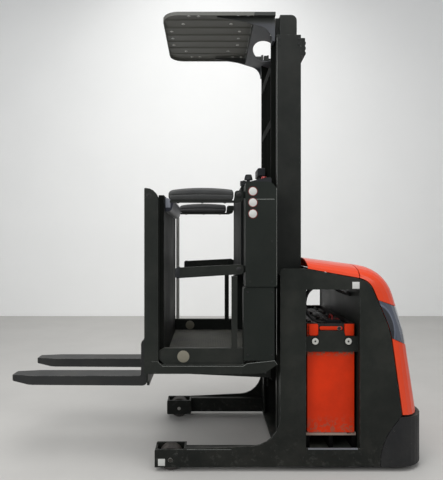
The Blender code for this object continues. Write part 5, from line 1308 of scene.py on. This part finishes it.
def lift_pulley_parts():
    """Leaf chains over the head pulleys, with every plate and pin."""
    for label, side in SIDES:
        form = bmesh.new()
        middle_y = side * CHAIN_Y
        path = chain_path()
        for k, (start, end) in enumerate(zip(path, path[1:])):
            offsets = (-0.0042, 0.0, 0.0042) if k % 2 else (-0.0021, 0.0021)
            for offset in offsets:
                add_link(form, start, end, middle_y + offset)
        for x, z in path:
            add_turned(form, CHAIN_PIN, (x, middle_y - 0.0058, z), (0, 1, 0), 8)
        chain = made(f"leaf_chain_{label}", form, "inner_mast", "oily iron", "cast_iron", 40.0)
        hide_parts(f"lift_chain_{label}")


def chain_path():
    """Pin places (x, z): up the front run, over the pulley and down the rear run."""
    x, low, count = FRONT_RUN
    points = [(x, low + (PULLEY[1] - low) * k / count) for k in range(count + 1)]
    for k in range(1, 7):
        angle = math.pi * (1 - k / 7)
        points.append((PULLEY[0] + CHAIN_REACH * math.cos(angle), PULLEY[1] + CHAIN_REACH * math.sin(angle)))
    x, low, count = REAR_RUN
    points += [(x, PULLEY[1] - (PULLEY[1] - low) * k / count) for k in range(count + 1)]
    return points


def add_link(form, start, end, y):
    """One oval plate from pin to pin."""
    reach = math.atan2(end[1] - start[1], end[0] - start[0])
    outline = []
    for (cx, cz), first in ((end, reach - math.pi / 2), (start, reach + math.pi / 2)):
        for k in range(4):
            angle = first + math.pi * k / 3
            outline.append((cx + 0.0036 * math.cos(angle), cz + 0.0036 * math.sin(angle)))
    add_plate(form, outline, "Y", (y - 0.0009, y + 0.0009))


# The motor's fins, end cap and terminals, the cover's bolts (x, z), and the wheel's cap and face
FIN_HEIGHTS = (0.495, 0.560, 0.625, 0.672)
FIN = ((-0.0016, -0.0036), (0.0016, -0.0036), (0.0010, 0.0036), (-0.0010, 0.0036))
END_CAP = ((0.0800, 0.0), (0.0800, 0.006), (0.0740, 0.012), (0.0300, 0.016), (0.004, 0.016))
TERMINAL = ((0.0060, 0.0), (0.0060, 0.008), (0.0042, 0.009), (0.0042, 0.018))
COVER_BOLTS = ((1.030, 0.235), (0.965, 0.200), (1.095, 0.200), (0.945, 0.125), (1.115, 0.125),
               (1.030, 0.072))
HUB_CAP = ((0.0300, 0.0), (0.0300, 0.006), (0.0250, 0.010), (0.004, 0.010))
WHEEL_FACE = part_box("drive_wheel")[0].y + 0.0001


def drive_unit_parts():
    """Cooling fins, end cap and terminal posts of the traction motor, and the bolts of its gearbox."""
    fins = bmesh.new()
    for across, along in around(28, 0.0975):
        line = [(DRIVE_AXLE.x + across, along, z) for z in FIN_HEIGHTS]
        add_swept(fins, line, lambda share: FIN, up=(across, along, 0))
    add_turned(fins, END_CAP, (DRIVE_AXLE.x, 0, MOTOR_TOP - 0.0005), (0, 0, 1), 40)
    made("motor_fins", fins, "drive_unit", "casting", "cast_iron")
    form = bmesh.new()
    for count, radius, z, across_flats, height in ((8, 0.0690, MOTOR_TOP + 0.0085, 0.010, 0.005),
                                                   (12, 0.1130, 0.4600, 0.011, 0.006)):
        for x, y in around(count, radius, 0.5):
            add_bolt(form, (DRIVE_AXLE.x + x, y, z), (0, 0, 1), across_flats, height)
    for x, z in COVER_BOLTS:
        add_bolt(form, (x, 0.1228, z), (0, 1, 0), 0.011, 0.004)
    made("drive_bolts", form, "drive_unit", "fixing zinc", "bright_steel")
    posts = bmesh.new()
    for angle in (0.35, 0.0, -0.35):
        foot = (DRIVE_AXLE.x + 0.040 * math.cos(angle), 0.075 * math.sin(angle), MOTOR_TOP + 0.0150)
        add_turned(posts, TERMINAL, foot, (0, 0, 1), 14)
    made("motor_posts", posts, "drive_unit", "fixing zinc", "bright_steel")


def drive_wheel_parts():
    """The drive wheel's hub bolts and centre boss."""
    form = bmesh.new()
    for x, z in around(5, 0.052):
        add_bolt(form, (DRIVE_AXLE.x + x, WHEEL_FACE, DRIVE_AXLE.z + z), (0, -1, 0), 0.014, 0.006)
    add_turned(form, HUB_CAP, (DRIVE_AXLE.x, WHEEL_FACE, DRIVE_AXLE.z), (0, -1, 0), 32)
    made("drive_hub_bolts", form, "steered_wheel", "fixing zinc", "bright_steel")


# The roof's drilled holes: x, and how far each lies from the middle
ROOF_HOLES = (
    (-0.269, (0.0, 0.105)),
    (-0.187, (0.210,)),
    (-0.147, (0.315,)),
    (-0.086, (0.315,)),
    (0.121, (0.210,)),
    (0.161, (0.315,)),
    (0.1835, (0.0, 0.105)),
    (0.224, (0.315,)),
)
HOLE_RIM = ((0.0074, 0.0), (0.0074, 0.0008), (0.0100, 0.0006), (0.0104, 0.0))


def roof_rims():
    """The bare rim round each drilled hole of the roof, below and above."""
    form = bmesh.new()
    for x, places in ROOF_HOLES:
        for y in sorted({side * place for place in places for _, side in SIDES}):
            for z, face in ((2.7521, -1), (2.7562, 1)):
                add_ring(form, HOLE_RIM, (x, y, z), (0, 0, face), 18)
    made("roof_rims", form, "cab", "washer zinc", "bright_steel")


# The fork carriage's stops and latch pins
STOP_LOWS = (0.150, 0.252)
LATCH_PIN = ((0.0085, 0.0), (0.0085, 0.012), (0.0070, 0.0145))


def fork_parts():
    """Stops and latch pins on the fork carriage."""
    form = bmesh.new()
    for _, side in SIDES:
        for low in STOP_LOWS:
            span = sorted((side * low, side * (low + 0.034)))
            add_block(form, (-0.4085, -0.4020), span, (0.6880, 0.6960), 0.0015)
        add_turned(form, LATCH_PIN, (-0.4105, side * 0.218, 0.7365), (0, 0, 1), 20)
    made("fork_latches", form, "cab", "fixing zinc", "bright_steel")


def tray_parts():
    """Small screws along the document tray's light lip, and the grab bar's end caps."""
    form = bmesh.new()
    for k in range(9):
        y = -0.36 + 0.09 * k
        add_socket_screw(form, (-0.2420, y, 1.6148), (0, 0, 1), 0.0050, 0.0022)
    made("tray_screws", form, "cab", "fixing zinc", "cast_iron")
    form = bmesh.new()
    for z, face in ((0.736, -1), (1.540, 1)):
        add_turned(form, ((0.0120, 0.0), (0.0120, 0.003), (0.0100, 0.005)), (-0.267, 0.520, z),
                   (0, 0, face), 24)
    made("grab_bar_caps", form, "cab", "fixing black", "black_plastic")


# Edges rubbed bright, with painted highlights along them: body, radius and the line each follows, mirrored to
# both sides
WORN_AND_LIT_LINES = (
    ("cab", 0.0015, ((-0.390, 0.5497, 0.6628), (-0.316, 0.5497, 0.6628), (-0.2875, 0.5497, 0.6362),
                     (0.174, 0.5497, 0.6362))),
    ("cab", 0.0021, ((0.174, 0.5491, 0.6362), (0.1965, 0.5491, 0.6508), (0.3535, 0.5491, 0.6672),
                     (0.3664, 0.5491, 0.6470))),
    ("cab", 0.0011, ((0.3649, 0.5502, 1.100), (0.3649, 0.5502, 1.655))),
    ("cab", 0.0011, ((0.3649, 0.5442, 0.700), (0.3649, 0.5442, 1.080))),
    ("chassis", 0.0012, ((0.3958, 0.3592, 1.700), (0.3958, 0.3592, 2.600))),
    ("chassis", 0.0014, ((-0.150, 0.4832, 0.1312), (0.110, 0.4832, 0.1312))),
)


def worn_and_lit_edges():
    """Thin bright lines on the skirts, legs, console edges and mast: paint rubbed off, and painted edge
    highlights.
    """
    for body in ("cab", "chassis"):
        form = bmesh.new()
        for rides, radius, line in WORN_AND_LIT_LINES:
            if rides != body:
                continue
            for _, side in SIDES:
                points = []
                for start, end in zip(line, line[1:]):
                    start, end = Vector(start), Vector(end)
                    steps = max(2, int((end - start).length / 0.03))
                    points += [start.lerp(end, k / steps) for k in range(steps)]
                points.append(Vector(line[-1]))
                mirrored = [(point.x, side * point.y, point.z) for point in points]
                add_swept(form, mirrored, lambda share: around(6, radius), up=(0.05, 1, 0))
        made(f"worn_and_lit_edges_{body}", form, body, "rubbed and lit edge", "charcoal_paint")


# The rear door's hinge line (x, y) and its pin
DOOR_PIN = (1.111, 0.4905)
PIN = ((0.0032, 0.0), (0.0032, 0.0270), (0.0026, 0.0278))


def door_parts():
    """The pins through the rear door's knuckles."""
    form = bmesh.new()
    for z in (0.385, 0.525):
        add_turned(form, PIN, (*DOOR_PIN, z - 0.0014), (0, 0, 1), 14)
    made("door_pins", form, "chassis", "fixing zinc", "bright_steel")


def row(x, y, z):
    """Places for a row of fixings, each of x, y and z one value or a list of values."""
    lists = [part if isinstance(part, tuple) else (part,) for part in (x, y, z)]
    return [(a, b, c) for a in lists[0] for b in lists[1] for c in lists[2]]


# Bolts and screws, mirrored to both sides: name and body of each piece, then for each kind its places on the
# far half, the way its heads face, with Y outwards, and its two sizes
FIXINGS = (
    ("console_screws", "cab", (
        (add_socket_screw, ((0.214, 0.5490, 1.120), *row(0.338, 0.5490, (1.120, 1.350, 1.590))),
         (0, 1, 0), (0.0060, 0.0022)),
        (add_socket_screw, row((0.200, 0.340), 0.5448, (0.700, 1.060)), (0, 1, 0), (0.0060, 0.0030)),
    )),
    ("platform_screws", "cab", (
        (add_socket_screw, row((-0.230, -0.110, 0.020, 0.150, 0.250), 0.490, 0.6518),
         (0, 0, 1), (0.0060, 0.0022)),
        (add_socket_screw, row((-0.080, 0.040, 0.160, 0.300), 0.5490, 0.600), (0, 1, 0), (0.0060, 0.0022)),
    )),
    ("front_wall_bolts", "cab", (
        (add_bolt, row(-0.3155, 0.468, (0.730, 1.000, 1.270, 1.540)), (-1, 0, 0), (0.013, 0.005)),
    )),
    ("carriage_bolts", "cab", (
        (add_bolt, row(-0.4086, (0.100, 0.300), (0.490, 0.650)), (-1, 0, 0), (0.015, 0.0050)),
    )),
    ("mast_bolts", "chassis", (
        (add_bolt, row(TIE_BACK + 0.0001, 0.335, (2.512, 2.543, 2.574, 1.111)), (1, 0, 0), (0.017, 0.006)),
        (add_socket_screw, row((0.410, 0.530), 0.3601, (2.560, 2.595)), (0, 1, 0), (0.0060, 0.0028)),
    )),
    ("bumper_screws", "chassis", (
        (add_socket_screw, ((1.040, 0.4838, 0.060), (1.020, 0.4838, 0.150), (1.060, 0.4838, 0.240)),
         (0, 1, 0), (0.0070, 0.0026)),
    )),
)


def fixings():
    """Every piece of the table, in black."""
    for name, body, kinds in FIXINGS:
        form = bmesh.new()
        for _, side in SIDES:
            for add, places, (out_x, out_y, out_z), sizes in kinds:
                for x, y, z in places:
                    add(form, (x, side * y, z), (out_x, side * out_y, out_z), *sizes)
        made(name, form, body, "fixing black", "cast_iron")


fixings()
armrests()
armrest_seams()
gate_bar_ends()
signs()
post_bolts()
console_ledges()
control_panel_parts()
drive_knob()
wire_screen()
load_wheel_parts()
frame_welds()
barrel_collars()
plate_trim()
battery_cells()
battery_rims()
lock_bolts()
cable_ends()
lift_pulley_parts()
drive_unit_parts()
drive_wheel_parts()
roof_rims()
fork_parts()
tray_parts()
worn_and_lit_edges()
door_parts()


# The room: floor, far wall, lamps and the camera at the photograph's place
ROOM_HALF = 9
WALL_Y = 5.4


def floor_finish(name, colour, drift):
    material, tree, shader = blank_finish(name)
    grain = placed(tree, GRAIN, Grain=160.0, Drift=1.3)
    tree.links.new(mix_colour(tree, grain["Shade"], shaded(colour, 1 - drift), shaded(colour, 1 + drift)),
                   shader.inputs["Base Color"])
    shader.inputs["Roughness"].default_value = 0.75
    bump(tree, shader, grain["Height"], 0.05, 0.001)
    return material


def room():
    """A floor that runs to one plain wall behind the truck."""
    for name, corners, finish in (
        ("studio_floor", ((-ROOM_HALF, -ROOM_HALF, 0), (ROOM_HALF, -ROOM_HALF, 0), (ROOM_HALF, WALL_Y, 0),
                          (-ROOM_HALF, WALL_Y, 0)),
         floor_finish("floor grey", srgb(192, 190, 186), 0.03)),
        ("studio_wall", ((-ROOM_HALF, WALL_Y, 0), (ROOM_HALF, WALL_Y, 0), (ROOM_HALF, WALL_Y, ROOM_HALF),
                         (-ROOM_HALF, WALL_Y, ROOM_HALF)),
         floor_finish("wall white", srgb(252, 252, 250), 0.01)),
    ):
        mesh = bpy.data.meshes.new(name)
        mesh.from_pydata(corners, [], [(0, 1, 2, 3)])
        mesh.materials.append(finish)
        surface = bpy.data.objects.new(name, mesh)
        bpy.context.scene.collection.objects.link(surface)


# Lamps: name, place, the point each faces, size, watts
LAMPS = (
    ("ceiling_lamp", (0.0, -1.2, 5.2), (0.0, 0.0, 0.8), 5.0, 190),
    ("front_lamp", (-3.6, -4.6, 3.2), (0.1, 0.0, 1.1), 3.0, 110),
    ("drive_end_lamp", (4.2, -3.6, 3.4), (0.6, 0.0, 1.0), 2.6, 45),
    ("wall_lamp", (0.0, 3.0, 5.0), (0.0, 5.4, 1.8), 5.0, 45),
)


def lamps():
    """The area lamps and the even light of the world."""
    for name, place, target, size, watts in LAMPS:
        lamp = bpy.data.lights.new(name, "AREA")
        lamp.shape = "DISK"
        lamp.size = size
        lamp.energy = watts
        holder = bpy.data.objects.new(name, lamp)
        holder.location = place
        holder.rotation_euler = (Vector(target) - Vector(place)).to_track_quat("-Z", "Y").to_euler()
        bpy.context.scene.collection.objects.link(holder)
    world = bpy.data.worlds.new("studio")
    world.use_nodes = True
    world.node_tree.nodes["Background"].inputs["Color"].default_value = srgb(235, 238, 242)
    world.node_tree.nodes["Background"].inputs["Strength"].default_value = 0.46
    bpy.context.scene.world = world


def camera():
    """The camera stands where the photograph was taken from, and looks level along +Y."""
    lens = bpy.data.cameras.new("camera")
    lens.sensor_width = 36.0
    lens.lens = 34.8
    lens.shift_x = 0.0302
    lens.shift_y = 0.0083
    lens.clip_start = 0.05
    holder = bpy.data.objects.new("camera", lens)
    holder.location = (-0.033, -3.200, 1.335)
    holder.rotation_euler = (math.pi / 2, 0.0, 0.0)
    bpy.context.scene.collection.objects.link(holder)
    bpy.context.scene.camera = holder
    bpy.context.scene.view_settings.view_transform = "Standard"


room()
lamps()
camera()
